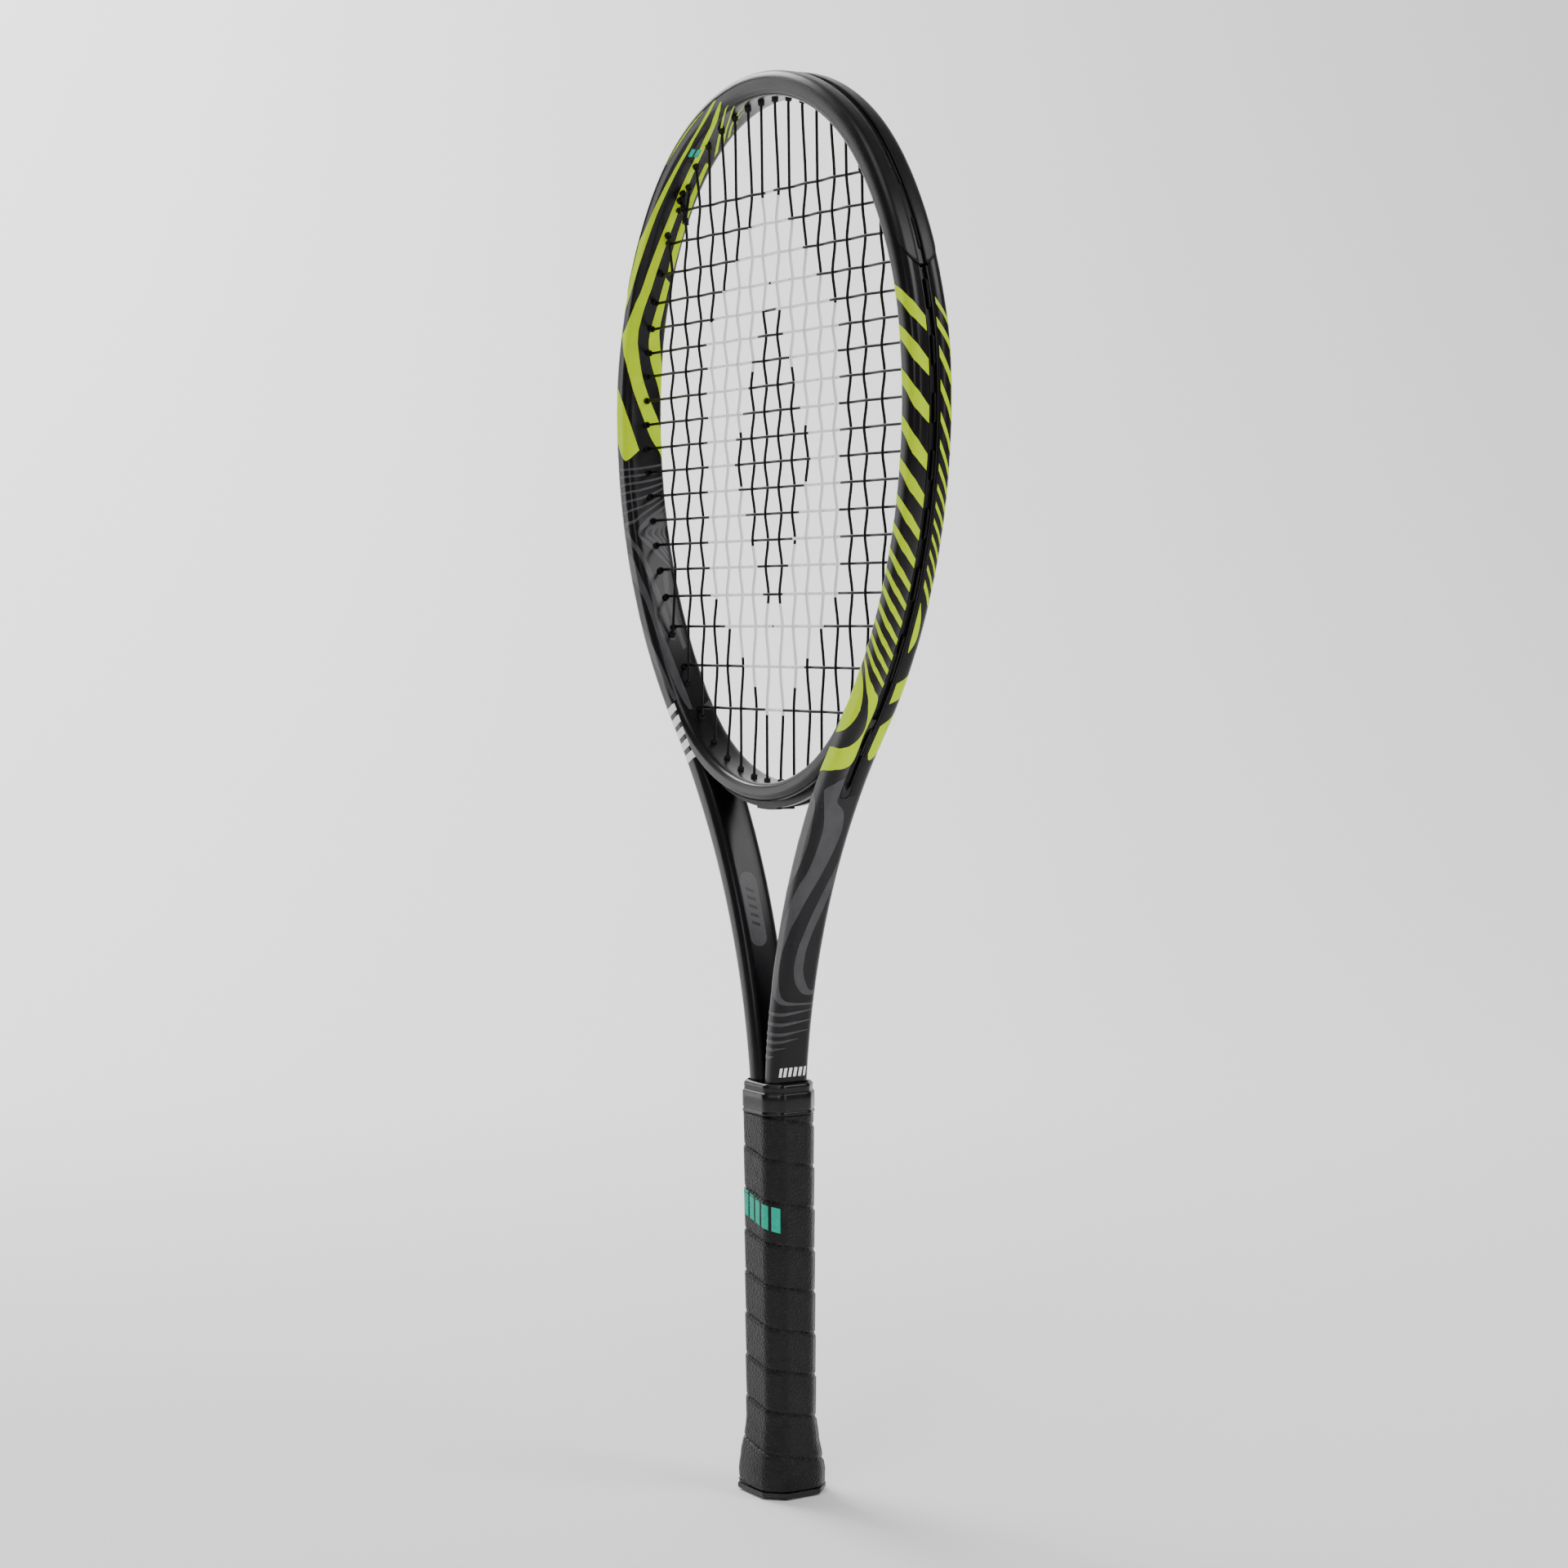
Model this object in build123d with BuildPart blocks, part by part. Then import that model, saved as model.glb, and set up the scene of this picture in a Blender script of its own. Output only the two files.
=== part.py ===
from build123d import *
import os
from math import acos, asin, cos, degrees, hypot, radians, sin, sqrt

# Adult tennis racket, strung. Millimetres.
# The butt end is at z = 0, the tip of the head at z = length, the strings lie in the plane y = 0.

os.makedirs("parts", exist_ok=True)

# ---- Driving dimensions ----

length = 685.8             # 27 inches, the adult length

# hairpin frame: one hollow tube bent round the head and back down into the handle
tube_width = 12.4          # in the string plane, round the head
beam = 22.5                # across the string plane, round the head
tube_corner = 4.2
wall = 1.7
cavity_corner_inset = 1.6
shaft_width = 12.0         # each leg of the hairpin inside the handle
shaft_beam = 20.5
shaft_corner = 5.0
leg_overlap = 0.3          # the two legs are moulded into each other by this much
shaft_bottom = 12.0
throat_radius = 320.0      # legs bend outwards
throat_angle = 39.0
side_radius = 240.0
side_end = -2.0            # angles of the outward normal below +x, where one arc meets the next
shoulder_radius = 170.0
shoulder_end = -37.0
head_section_angle = 31.0  # the tube has its full head section from here on up
arm_stations = 5

# yoke that closes the head
bridge_inner_z = 346.0
bridge_depth = 9.0
bridge_corner = 3.4
bridge_wall = 1.8
bridge_end = 46.0          # where the yoke is bonded to the hairpin
bridge_root_end = 39.5
bridge_cavity_end = 56.0

# groove round the outside, its strips and the head guard
groove_width = 5.4
groove_depth = 3.2
groove_end = 33.0
strip_base = 1.0
channel_width = 4.4
guard_skin = 0.9
guard_lip = 3.4
guard_channel_end = -18.5
guard_rail_end = -25.5
strip_gap = 0.6            # angle left between the guard and each side strip
cut_past = 1.0             # how far a cut runs past the face it opens, in mm or degrees
throat_strip_half_angle = 30.0
throat_strip_width = 10.0
throat_strip_proud = 3.0
throat_lobe_half_angle = 5.0
throat_lobe_proud = 1.0

# strings
string_diameter = 1.3
weave = 0.75               # how far each string stands off the string plane where two cross
weave_bend = 6.0
row_bend = 3.0             # where a run settles into its row of grommets
row_offset = 0.9           # main holes lie in front of the string plane, cross holes behind it
main_x = [6.2, 18.2, 30.4, 42.8, 55.2, 67.6, 80.8, 95.8]
cross_z = [629.3, 614.3, 599.6, 585.8, 573.0, 561.0, 549.2, 537.0, 524.8, 512.6,
           500.4, 488.1, 475.6, 463.1, 450.4, 436.8, 421.4, 401.9, 381.0]
lead = 3.0                 # straight string just inside each grommet
lead_bend = 4.0
loop_bend = 1.2
loop_depth = 1.1           # centre of the string loops below the tube's outer wall
nearest_crossing = 9.0     # closer to a grommet than this, the strings pass without weaving
grommet_diameter = 3.2
grommet_bore = 2.1
grommet_hole = 3.4
grommet_proud = 1.2
mouth = 2.0                # where a string bends into its grommet, inside the inner wall
tie_off_spacing = 4.2
knot_diameter = 3.4
knot_length = 3.6
hole_turn = 3.0            # weight of the frame's normal against the string's line in a hole's direction
yoke_hole_margin = 3.0     # angle past the last main that leaves through the yoke
main_knot_reach = 6.5      # from the grommets to the knots
cross_knot_reach = 12.0

# handle
pallet_x = 29.3
pallet_y = 25.0
pallet_bevel = 5.4
pallet_top = 194.0
pallet_bottom = 10.0
grip_thickness = 2.0
grip_bottom = 3.0
grip_top = 185.5
grip_tail_top = 192.0
grip_tail_thickness = 0.6
tape_bottom = 185.8
tape_top = 193.0
tape_thickness = 0.3
butt_levels = [(3.0, 4.0), (10.0, 4.1), (18.0, 2.9), (26.0, 1.3), (36.0, 0.0)]  # height, flare
cap_top = 34.0
cap_skin = 0.9
cap_floor = 3.0
cap_rim_fillet = 1.4
cap_rim_inset = 0.4

# trap door in the end of the butt cap
door_x = 15.4
door_y = 10.4
door_flange = 2.0
door_flange_thickness = 1.0
door_gap = 0.3
door_plug_top = 4.2
door_leg_top = 9.0
door_leg_thickness = 1.2
door_leg_width = 5.0

# staples
staple_crown = 10.0
staple_wire = 0.9
staple_leg = 2.2
staple_bend = 0.8
cap_staple_z = 30.0
cap_staple_y = 12.6
tack_z = 22.0
tack_x = 15.2
tack_crown = 7.0

# rubber collar
collar_bottom = 185.8
collar_top = 201.5
collar_outside = 2.2       # outwards from the pallet
collar_bore = 1.2
collar_shoulder_z = 195.0
collar_opening_x = 28.8
collar_opening_y = 21.8
collar_opening_corner = 4.6
collar_top_bevel = 1.6


# ---- Frame centreline: tangent arcs in the plane of the strings ----
# An arc is (centre x, centre z, radius). At angle phi its outward normal is (cos phi, -sin phi),
# so phi runs from 90 at the bottom of the head, through 0 at its side, to -90 at its top.

def arc_point(arc, phi, outward=0.0):
    x, z, radius = arc
    return (x + (radius + outward) * cos(radians(phi)), z - (radius + outward) * sin(radians(phi)))


def next_arc(arc, phi, radius):
    x, z = arc_point(arc, phi)
    return (x - radius * cos(radians(phi)), z + radius * sin(radians(phi)), radius)


half_width = tube_width / 2
base_below_loop = groove_depth - loop_depth - strip_base
leg_x = shaft_width / 2 - leg_overlap
throat_arc = (leg_x + throat_radius, 0.0, -throat_radius)
side_arc = next_arc(throat_arc, throat_angle, side_radius)
shoulder_arc = next_arc(side_arc, side_end, shoulder_radius)
top_radius = arc_point(shoulder_arc, shoulder_end)[0] / cos(radians(shoulder_end))
top_arc = next_arc(shoulder_arc, shoulder_end, top_radius)
bend_z = length - half_width - arc_point(top_arc, -90)[1]


def raised(arc):
    return (arc[0], arc[1] + bend_z, arc[2])


throat_arc = raised(throat_arc)
side_arc = raised(side_arc)
shoulder_arc = raised(shoulder_arc)
top_arc = raised(top_arc)

# the inside of the yoke is an arc tangent to the inside of the side arc
side_inner = side_arc[2] - half_width
drop = side_arc[1] - bridge_inner_z
bridge_inner = (side_inner**2 - side_arc[0]**2 - drop**2) / (2 * (side_inner - drop))
bridge_arc = (0.0, bridge_inner_z + bridge_inner, bridge_inner + half_width)
bridge_top_angle = degrees(acos(-side_arc[0] / (side_inner - bridge_inner)))
yoke_hole_angle = degrees(acos(main_x[3] / bridge_inner)) - yoke_hole_margin

head_arcs = [
    (bridge_arc, 90, bridge_top_angle),
    (side_arc, bridge_top_angle, side_end),
    (shoulder_arc, side_end, shoulder_end),
    (top_arc, shoulder_end, -90),
]


# ---- Grommet holes ----
# A hole is (mouth, out, row): where the string bends into it, where it comes out in the groove,
# and its y. It points most of the way from the string's line to the frame's normal.

def meets(origin, direction, arc, outward):
    """The first point along a line, from its origin, that is at this distance outside an arc."""
    dx = origin[0] - arc[0]
    dz = origin[1] - arc[1]
    along = dx * direction[0] + dz * direction[1]
    inside = dx**2 + dz**2 - (arc[2] + outward)**2
    root = sqrt(along**2 - inside)
    travel = root - along if arc[2] > 0 else -along - root
    return (origin[0] + travel * direction[0], origin[1] + travel * direction[1])


def hole_at(phi, arc, string_line, row):
    start = arc_point(arc, phi, -half_width - mouth)
    aim_x = hole_turn * cos(radians(phi)) + string_line[0]
    aim_z = -hole_turn * sin(radians(phi)) + string_line[1]
    size = hypot(aim_x, aim_z)
    aim = (aim_x / size, aim_z / size)
    if arc is not bridge_arc:
        out = meets(start, aim, arc, half_width - loop_depth)
    elif phi < yoke_hole_angle:
        out = meets(start, aim, throat_arc, half_width - loop_depth)
    else:
        out = meets(start, aim, arc, bridge_depth - half_width + throat_strip_proud - loop_depth)
    return (start, out, row)


def main_hole(x, upper):
    for arc, high, low in head_arcs:
        reach = (x - arc[0]) / (arc[2] - half_width - mouth)
        phi = degrees(acos(min(reach, 1.0)))
        if upper:
            phi = -phi
        if low <= phi <= high:
            return hole_at(phi, arc, (0, 1 if upper else -1), -row_offset)


def cross_hole(z):
    for arc, high, low in head_arcs:
        reach = (arc[1] - z) / (arc[2] - half_width - mouth)
        if abs(reach) < 1 and low <= degrees(asin(reach)) <= high:
            return hole_at(degrees(asin(reach)), arc, (1, 0), row_offset)


def tie_off_hole(x, upper, row, spacing):
    """A hole beside a main's own, that brings a string's end back to a knot on that main."""
    for arc, high, low in head_arcs:
        phi = degrees(acos(min((x - arc[0]) / (arc[2] - half_width - mouth), 1.0)))
        if upper:
            phi = -phi
        if low <= phi <= high:
            turn = degrees(spacing / (arc[2] - half_width))
            return hole_at(phi + turn, arc, (0, 1 if upper else -1), row)


def mirrored(hole):
    (mx, mz), (ox, oz), row = hole
    return ((-mx, mz), (-ox, oz), row)


top_holes = [main_hole(x, True) for x in main_x]
bottom_holes = [main_hole(x, False) for x in main_x]
cross_holes = [cross_hole(z) for z in cross_z]
main_tie = tie_off_hole(main_x[6], True, -row_offset, tie_off_spacing)
cross_start_tie = mirrored(tie_off_hole(main_x[6], True, row_offset, -tie_off_spacing))
cross_end_tie = tie_off_hole(main_x[5], False, row_offset, tie_off_spacing)

guard_limit = arc_point(shoulder_arc, guard_channel_end)[1]
guard_holes = []
side_holes = []
throat_holes = []
for hole in top_holes + bottom_holes + cross_holes + [main_tie]:
    if hole[1][1] > guard_limit:
        guard_holes += [hole, mirrored(hole)]
    elif hole in bottom_holes[:4]:
        throat_holes += [hole, mirrored(hole)]
    else:
        side_holes += [hole]
left_side_holes = [mirrored(hole) for hole in side_holes]
right_side_holes = side_holes + [cross_end_tie]
guard_holes += [cross_start_tie]
all_holes = guard_holes + left_side_holes + right_side_holes + throat_holes


def along_hole(hole, start_back, end_past, diameter):
    """A round bar along a hole, from behind its inner end to past its outer end."""
    (mx, mz), (ox, oz), row = hole
    reach = hypot(ox - mx, oz - mz)
    ux = (ox - mx) / reach
    uz = (oz - mz) / reach
    start = (mx - ux * start_back, row, mz - uz * start_back)
    with BuildSketch(Plane(start, z_dir=(ux, 0, uz))) as section:
        Circle(diameter / 2)
    return extrude(section.sketch, amount=reach + start_back + end_past, mode=Mode.PRIVATE)


def add_grommets(holes):
    """Barrels from the strip's base to a little inside the head, bored for the string."""
    add([along_hole(hole, grommet_proud - mouth, -base_below_loop, grommet_diameter) for hole in holes])
    add([along_hole(hole, mouth, mouth, grommet_bore) for hole in holes], mode=Mode.SUBTRACT)


# ---- Paths and sections of the frame ----

def section_plane(arc, phi):
    """Local x is the outward normal and local y is +y, looking up the frame."""
    x, z = arc_point(arc, phi)
    turn = radians(phi)
    return Plane((x, 0, z), x_dir=(cos(turn), 0, -sin(turn)), z_dir=(sin(turn), 0, cos(turn)))


def draw_arc(arc, start, end, side=1):
    points = []
    for phi in (start, (start + end) / 2, end):
        x, z = arc_point(arc, phi)
        points.append((side * x, z))
    ThreePointArc(*points)


def over_head_path(start_arc, start):
    """From an angle on the right, over the head, to the same angle on the left."""
    arcs = []
    if start_arc is throat_arc:
        arcs.append((throat_arc, start, throat_angle))
        arcs.append((side_arc, throat_angle, side_end))
        arcs.append((shoulder_arc, side_end, shoulder_end))
    else:
        arcs.append((shoulder_arc, start, shoulder_end))
    with BuildLine(Plane.XZ) as path:
        for arc, first, last in arcs:
            draw_arc(arc, first, last)
        draw_arc(top_arc, shoulder_end, -180 - shoulder_end)
        for arc, first, last in reversed(arcs):
            draw_arc(arc, last, first, -1)
    return path.line


def side_path(side):
    with BuildLine(Plane.XZ) as path:
        draw_arc(throat_arc, groove_end, throat_angle, side)
        draw_arc(side_arc, throat_angle, side_end, side)
        draw_arc(shoulder_arc, side_end, guard_channel_end + strip_gap, side)
    return path.line


def bridge_path(start, end, outward):
    with BuildLine(Plane.XZ) as path:
        points = []
        for phi in (start, (start + end) / 2, end):
            points.append(arc_point(bridge_arc, phi, outward))
        ThreePointArc(*points)
    return path.line


def bridge_plane(phi, outward):
    x, z = arc_point(bridge_arc, phi, outward)
    turn = radians(phi)
    return Plane((x, 0, z), x_dir=(cos(turn), 0, -sin(turn)), z_dir=(sin(turn), 0, cos(turn)))


def arm(side_inset, outer_inset):
    """One leg and its throat arm, drawn in by a wall, and by more on the outside as it rises."""
    corner_inset = min(side_inset, cavity_corner_inset)
    with BuildSketch(Plane.XY.offset(shaft_bottom)) as leg_section:
        with Locations((leg_x, 0)):
            RectangleRounded(
                shaft_width - 2 * side_inset,
                shaft_beam - 2 * side_inset,
                shaft_corner - corner_inset,
            )
    leg = extrude(leg_section.sketch, amount=bend_z - shaft_bottom, mode=Mode.PRIVATE)
    sections = []
    for station in range(arm_stations + 1):
        share = station / arm_stations
        width = shaft_width + share * (tube_width - shaft_width) - 2 * side_inset - share * outer_inset
        depth = shaft_beam + share * (beam - shaft_beam) - 2 * side_inset
        corner = shaft_corner + share * (tube_corner - shaft_corner) - corner_inset
        with BuildSketch(section_plane(throat_arc, share * head_section_angle)) as section:
            with Locations((-share * outer_inset / 2, 0)):
                RectangleRounded(width, depth, corner)
        sections.append(section.sketch)
    return leg, loft(sections, mode=Mode.PRIVATE)


# ---- Hairpin frame ----

head_path = over_head_path(throat_arc, head_section_angle)
head_start = section_plane(throat_arc, head_section_angle)
groove_path = over_head_path(throat_arc, groove_end)
groove_start = section_plane(throat_arc, groove_end)
guard_path = over_head_path(shoulder_arc, guard_channel_end)
guard_start = section_plane(shoulder_arc, guard_channel_end)
rail_path = over_head_path(shoulder_arc, guard_rail_end)
rail_start = section_plane(shoulder_arc, guard_rail_end)
groove_floor = half_width - groove_depth
groove_middle = half_width - groove_depth / 2
bridge_middle = bridge_depth / 2 - half_width

# head guard: thin rails over the outer wall, and a channel lining the groove, with its barrels
with BuildPart() as bumper_guard:
    with BuildSketch(rail_start) as rails:
        RectangleRounded(tube_width, beam, tube_corner)
        RectangleRounded(
            tube_width - 2 * guard_skin,
            beam - 2 * guard_skin,
            tube_corner - guard_skin,
            mode=Mode.SUBTRACT,
        )
        with Locations((-guard_lip, 0)):
            Rectangle(tube_width, beam + cut_past, mode=Mode.SUBTRACT)
        with Locations((groove_middle, 0)):
            Rectangle(groove_depth, channel_width, mode=Mode.SUBTRACT)
    sweep(path=rail_path)
    with BuildSketch(guard_start) as channel:
        with Locations((groove_middle, 0)):
            Rectangle(groove_depth, groove_width)
        with Locations((groove_middle + strip_base, 0)):
            Rectangle(groove_depth, channel_width, mode=Mode.SUBTRACT)
    sweep(path=guard_path)
    add_grommets(guard_holes)
bumper_guard.part.label = "bumper_guard"
export_step(bumper_guard.part, "parts/bumper_guard.step")

# the hairpin's outside, before it is hollowed
with BuildPart() as hairpin:
    with BuildSketch(head_start) as head_section:
        RectangleRounded(tube_width, beam, tube_corner)
    sweep(path=head_path)
    for piece in arm(0, 0):
        add(piece)
        add(piece.mirror(Plane.YZ))

# the hollow inside it, which keeps clear of the groove
with BuildPart() as hollow:
    with BuildSketch(head_start) as head_cavity:
        with Locations((-groove_depth / 2, 0)):
            RectangleRounded(
                tube_width - 2 * wall - groove_depth,
                beam - 2 * wall,
                tube_corner - cavity_corner_inset,
            )
    sweep(path=head_path)
    for piece in arm(wall, groove_depth):
        add(piece)
        add(piece.mirror(Plane.YZ))

frame_holes = [along_hole(hole, mouth, mouth, grommet_hole) for hole in all_holes]

with BuildPart() as frame_tube:
    add(hairpin.part)
    with BuildSketch(bridge_plane(bridge_end, bridge_middle)) as yoke_root:
        RectangleRounded(bridge_depth, beam, bridge_corner)
    root = sweep(
        yoke_root.sketch,
        path=bridge_path(bridge_end, bridge_root_end, bridge_middle),
        mode=Mode.PRIVATE,
    )
    add(root)
    add(root.mirror(Plane.YZ))
    with BuildSketch(groove_start) as groove:
        with Locations((groove_middle + cut_past, 0)):
            Rectangle(groove_depth + 2 * cut_past, groove_width)
    sweep(path=groove_path, mode=Mode.SUBTRACT)
    add(hollow.part, mode=Mode.SUBTRACT)
    add(bumper_guard.part, mode=Mode.SUBTRACT)
    for bar in frame_holes:
        add(bar, mode=Mode.SUBTRACT)
frame_tube.part.label = "frame_tube"
export_step(frame_tube.part, "parts/frame_tube.step")

# yoke between the throat arms: a short hollow beam, cut to the arms at both ends
with BuildPart() as throat_bridge:
    for depth, width, corner, end, cut in (
        (bridge_depth, beam, bridge_corner, bridge_end, Mode.ADD),
        (
            bridge_depth - 2 * bridge_wall,
            beam - 2 * bridge_wall,
            bridge_corner - bridge_wall,
            bridge_cavity_end,
            Mode.SUBTRACT,
        ),
    ):
        with BuildSketch(bridge_plane(90, bridge_middle)) as bridge_section:
            RectangleRounded(depth, width, corner)
        half = sweep(
            bridge_section.sketch,
            path=bridge_path(90, end, bridge_middle),
            mode=Mode.PRIVATE,
        )
        add([half, half.mirror(Plane.YZ)], mode=cut)
    add(hairpin.part, mode=Mode.SUBTRACT)
    add(frame_holes, mode=Mode.SUBTRACT)
throat_bridge.part.label = "throat_bridge"
export_step(throat_bridge.part, "parts/throat_bridge.step")

# side strips: a base on the groove's floor, ending in a round tab on the throat arm
for side, name, holes in (
    (-1, "grommet_strip_left", left_side_holes),
    (1, "grommet_strip_right", right_side_holes),
):
    path = side_path(side)
    start = Plane(path @ 0, x_dir=(path % 0).cross(Vector(0, side, 0)), z_dir=path % 0)
    with BuildPart() as strip:
        with BuildSketch(start) as base:
            with Locations((groove_floor + strip_base / 2, 0)):
                Rectangle(strip_base, groove_width)
        sweep(path=path)
        add_grommets(holes)
    strip.part.label = name
    export_step(strip.part, f"parts/{name}.step")

# throat strip: under the yoke from arm to arm, with a channel for the string and a lobe in the middle
throat_strip_middle = bridge_depth - half_width + throat_strip_proud / 2
throat_floor = bridge_depth - half_width + strip_base
lobe_middle = throat_floor + (throat_strip_proud + throat_lobe_proud - strip_base) / 2
with BuildPart() as grommet_strip_throat:
    for middle, thickness, width, half_angle, cut in (
        (throat_strip_middle, throat_strip_proud, throat_strip_width, throat_strip_half_angle, Mode.ADD),
        (
            lobe_middle,
            throat_strip_proud + throat_lobe_proud - strip_base,
            throat_strip_width,
            throat_lobe_half_angle,
            Mode.ADD,
        ),
        (
            throat_strip_middle + strip_base + throat_lobe_proud / 2,
            throat_strip_proud + throat_lobe_proud,
            channel_width,
            throat_strip_half_angle + cut_past,
            Mode.SUBTRACT,
        ),
    ):
        with BuildSketch(bridge_plane(90, middle)) as strip_section:
            Rectangle(thickness, width)
        half = sweep(
            strip_section.sketch,
            path=bridge_path(90, 90 - half_angle, middle),
            mode=Mode.PRIVATE,
        )
        add([half, half.mirror(Plane.YZ)], mode=cut)
    add(hairpin.part, mode=Mode.SUBTRACT)
    add_grommets(throat_holes)
grommet_strip_throat.part.label = "grommet_strip_throat"
export_step(grommet_strip_throat.part, "parts/grommet_strip_throat.step")

# ---- Strings ----
# Runs across the head weave over and under each other. Loops join them through the grommets.

def swept_string(plane, points, bends):
    with BuildLine(plane) as route:
        FilletPolyline(*points, radius=bends)
    with BuildSketch(Plane(route.line @ 0, z_dir=route.line % 0)) as section:
        Circle(string_diameter / 2)
    return sweep(section.sketch, path=route.line, mode=Mode.PRIVATE)


def weaves(x, z, main, cross):
    """Whether the strings cross far enough from their grommets to weave."""
    bottom, top, half = bottom_holes[main][0][1], top_holes[main][0][1], cross_holes[cross][0][0]
    return min(z - bottom, top - z, half - abs(x)) > nearest_crossing


def run(plane, low, high, row, crossings):
    """One straight run between two grommets, waving past the strings it crosses."""
    points = [(low, row), (low + lead / 2, row)]
    points += crossings
    points += [(high - lead / 2, row), (high, row)]
    bends = [row_bend] + [weave_bend] * len(crossings) + [row_bend]
    return swept_string(plane, points, bends)


def loop(first, second, line_x, line_z):
    """Out through one grommet, along the groove and back in through the next."""
    (ax, az), (aox, aoz), row = first
    (bx, bz), (box, boz), row = second
    points = [
        (ax - line_x[0] * lead, az - line_z[0] * lead),
        (ax, az),
        (aox, aoz),
        (box, boz),
        (bx, bz),
        (bx - line_x[1] * lead, bz - line_z[1] * lead),
    ]
    bends = [lead_bend, loop_bend, loop_bend, lead_bend]
    return swept_string(Plane.XZ.offset(-row), points, bends)


def tie_off(hole, tie, line_x, line_z, knot_x, knot_z):
    """A string's end: out, along the groove, back in, and into its knot."""
    (ax, az), (aox, aoz), row = hole
    (bx, bz), (box, boz), row = tie
    points = [
        (ax - line_x * lead, az - line_z * lead),
        (ax, az),
        (aox, aoz),
        (box, boz),
        (bx, bz),
        (knot_x, knot_z),
    ]
    bends = [lead_bend, loop_bend, loop_bend, loop_bend]
    return swept_string(Plane.XZ.offset(-row), points, bends)


def knot(x, z, y):
    with BuildPart(Plane((x, y, z))) as lump:
        Cylinder(knot_diameter / 2, knot_length)
        fillet(lump.edges(), knot_diameter / 3)
    return lump.part


signed_mains = [-x for x in reversed(main_x)] + main_x
main_runs = []
for index, x in enumerate(signed_mains):
    main = main_x.index(abs(x))
    crossings = []
    for cross, z in enumerate(cross_z):
        if weaves(x, z, main, cross):
            crossings.append((z, weave * (-1) ** (index + cross)))
    crossings.sort()
    low = bottom_holes[main][0][1] + lead
    high = top_holes[main][0][1] - lead
    upright = Plane((x, 0, 0), x_dir=(0, 0, 1), z_dir=(-1, 0, 0))
    main_runs.append(run(upright, low, high, -row_offset, crossings))

with BuildPart() as main_string:
    add(main_runs)
    loops = []
    for first, second in ((1, 2), (3, 4), (5, 6)):
        loops.append(loop(top_holes[first], top_holes[second], (0, 0), (1, 1)))
    for first, second in ((0, 1), (2, 3), (4, 5), (6, 7)):
        loops.append(loop(bottom_holes[first], bottom_holes[second], (0, 0), (-1, -1)))
    knot_z = top_holes[6][0][1] - main_knot_reach
    loops.append(tie_off(top_holes[7], main_tie, 0, 1, main_x[6], knot_z))
    loops.append(knot(main_x[6], knot_z, -row_offset))
    add(loops)
    add([piece.mirror(Plane.YZ) for piece in loops])
    add(loop(mirrored(top_holes[0]), top_holes[0], (0, 0), (1, 1)))
main_string.part.label = "main_string"
export_step(main_string.part, "parts/main_string.step")

cross_runs = []
for cross, z in enumerate(cross_z):
    half = cross_holes[cross][0][0]
    crossings = []
    for index, x in enumerate(signed_mains):
        if weaves(x, z, main_x.index(abs(x)), cross):
            crossings.append((x, -weave * (-1) ** (index + cross)))
    level = Plane((0, 0, z))
    cross_runs.append(run(level, lead - half, half - lead, row_offset, crossings))

with BuildPart() as cross_string:
    add(cross_runs)
    loops = []
    for upper in range(0, len(cross_z) - 1):
        pair = loop(cross_holes[upper], cross_holes[upper + 1], (1, 1), (0, 0))
        loops.append(pair if upper % 2 == 0 else pair.mirror(Plane.YZ))
    start_z = top_holes[6][0][1] - cross_knot_reach
    end_z = bottom_holes[5][0][1] + main_knot_reach
    loops.append(tie_off(mirrored(cross_holes[0]), cross_start_tie, -1, 0, -main_x[6], start_z))
    loops.append(knot(-main_x[6], start_z, 0))
    loops.append(tie_off(cross_holes[-1], cross_end_tie, 1, 0, main_x[5], end_z))
    loops.append(knot(main_x[5], end_z, 0))
    add(loops)
    add(main_string.part, mode=Mode.SUBTRACT)
cross_string.part.label = "cross_string"
export_step(cross_string.part, "parts/cross_string.step")

# ---- Handle ----
# Everything on the handle is the pallet's octagon, moved outwards by some thickness.

def octagon(z, outward):
    bevel = pallet_bevel + (2 - sqrt(2)) * outward
    with BuildSketch(Plane.XY.offset(z)) as outline:
        Rectangle(pallet_x + 2 * outward, pallet_y + 2 * outward)
        chamfer(outline.vertices(), bevel)
    return outline.sketch


def sleeve(bottom, top, outward):
    return extrude(octagon(bottom, outward), amount=top - bottom, mode=Mode.PRIVATE)


def flare(outward):
    """The flared heel, from the end of the handle up to its straight part."""
    return loft([octagon(z, out + outward) for z, out in butt_levels], mode=Mode.PRIVATE)


def staple(plane, crown):
    """A wire staple: its crown along the plane's x, its legs along its y."""
    with BuildLine(plane) as wire:
        FilletPolyline(
            (-crown / 2, staple_leg),
            (-crown / 2, 0),
            (crown / 2, 0),
            (crown / 2, staple_leg),
            radius=staple_bend,
        )
    with BuildSketch(Plane(wire.line @ 0, z_dir=wire.line % 0)) as section:
        Circle(staple_wire / 2)
    return sweep(section.sketch, path=wire.line, mode=Mode.PRIVATE)


with BuildPart() as butt_cap_staples:
    for side in (-1, 1):
        crown_plane = Plane((0, side * cap_staple_y, cap_staple_z), x_dir=(1, 0, 0), z_dir=(0, 0, -side))
        add(staple(crown_plane, staple_crown))
butt_cap_staples.part.label = "butt_cap_staples"
export_step(butt_cap_staples.part, "parts/butt_cap_staples.step")

with BuildPart() as grip_tack:
    add(staple(Plane((tack_x, 0, tack_z), x_dir=(0, 1, 0), z_dir=(0, 0, 1)), tack_crown))
grip_tack.part.label = "grip_tack"
export_step(grip_tack.part, "parts/grip_tack.step")

staples = [butt_cap_staples.part, grip_tack.part]

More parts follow.
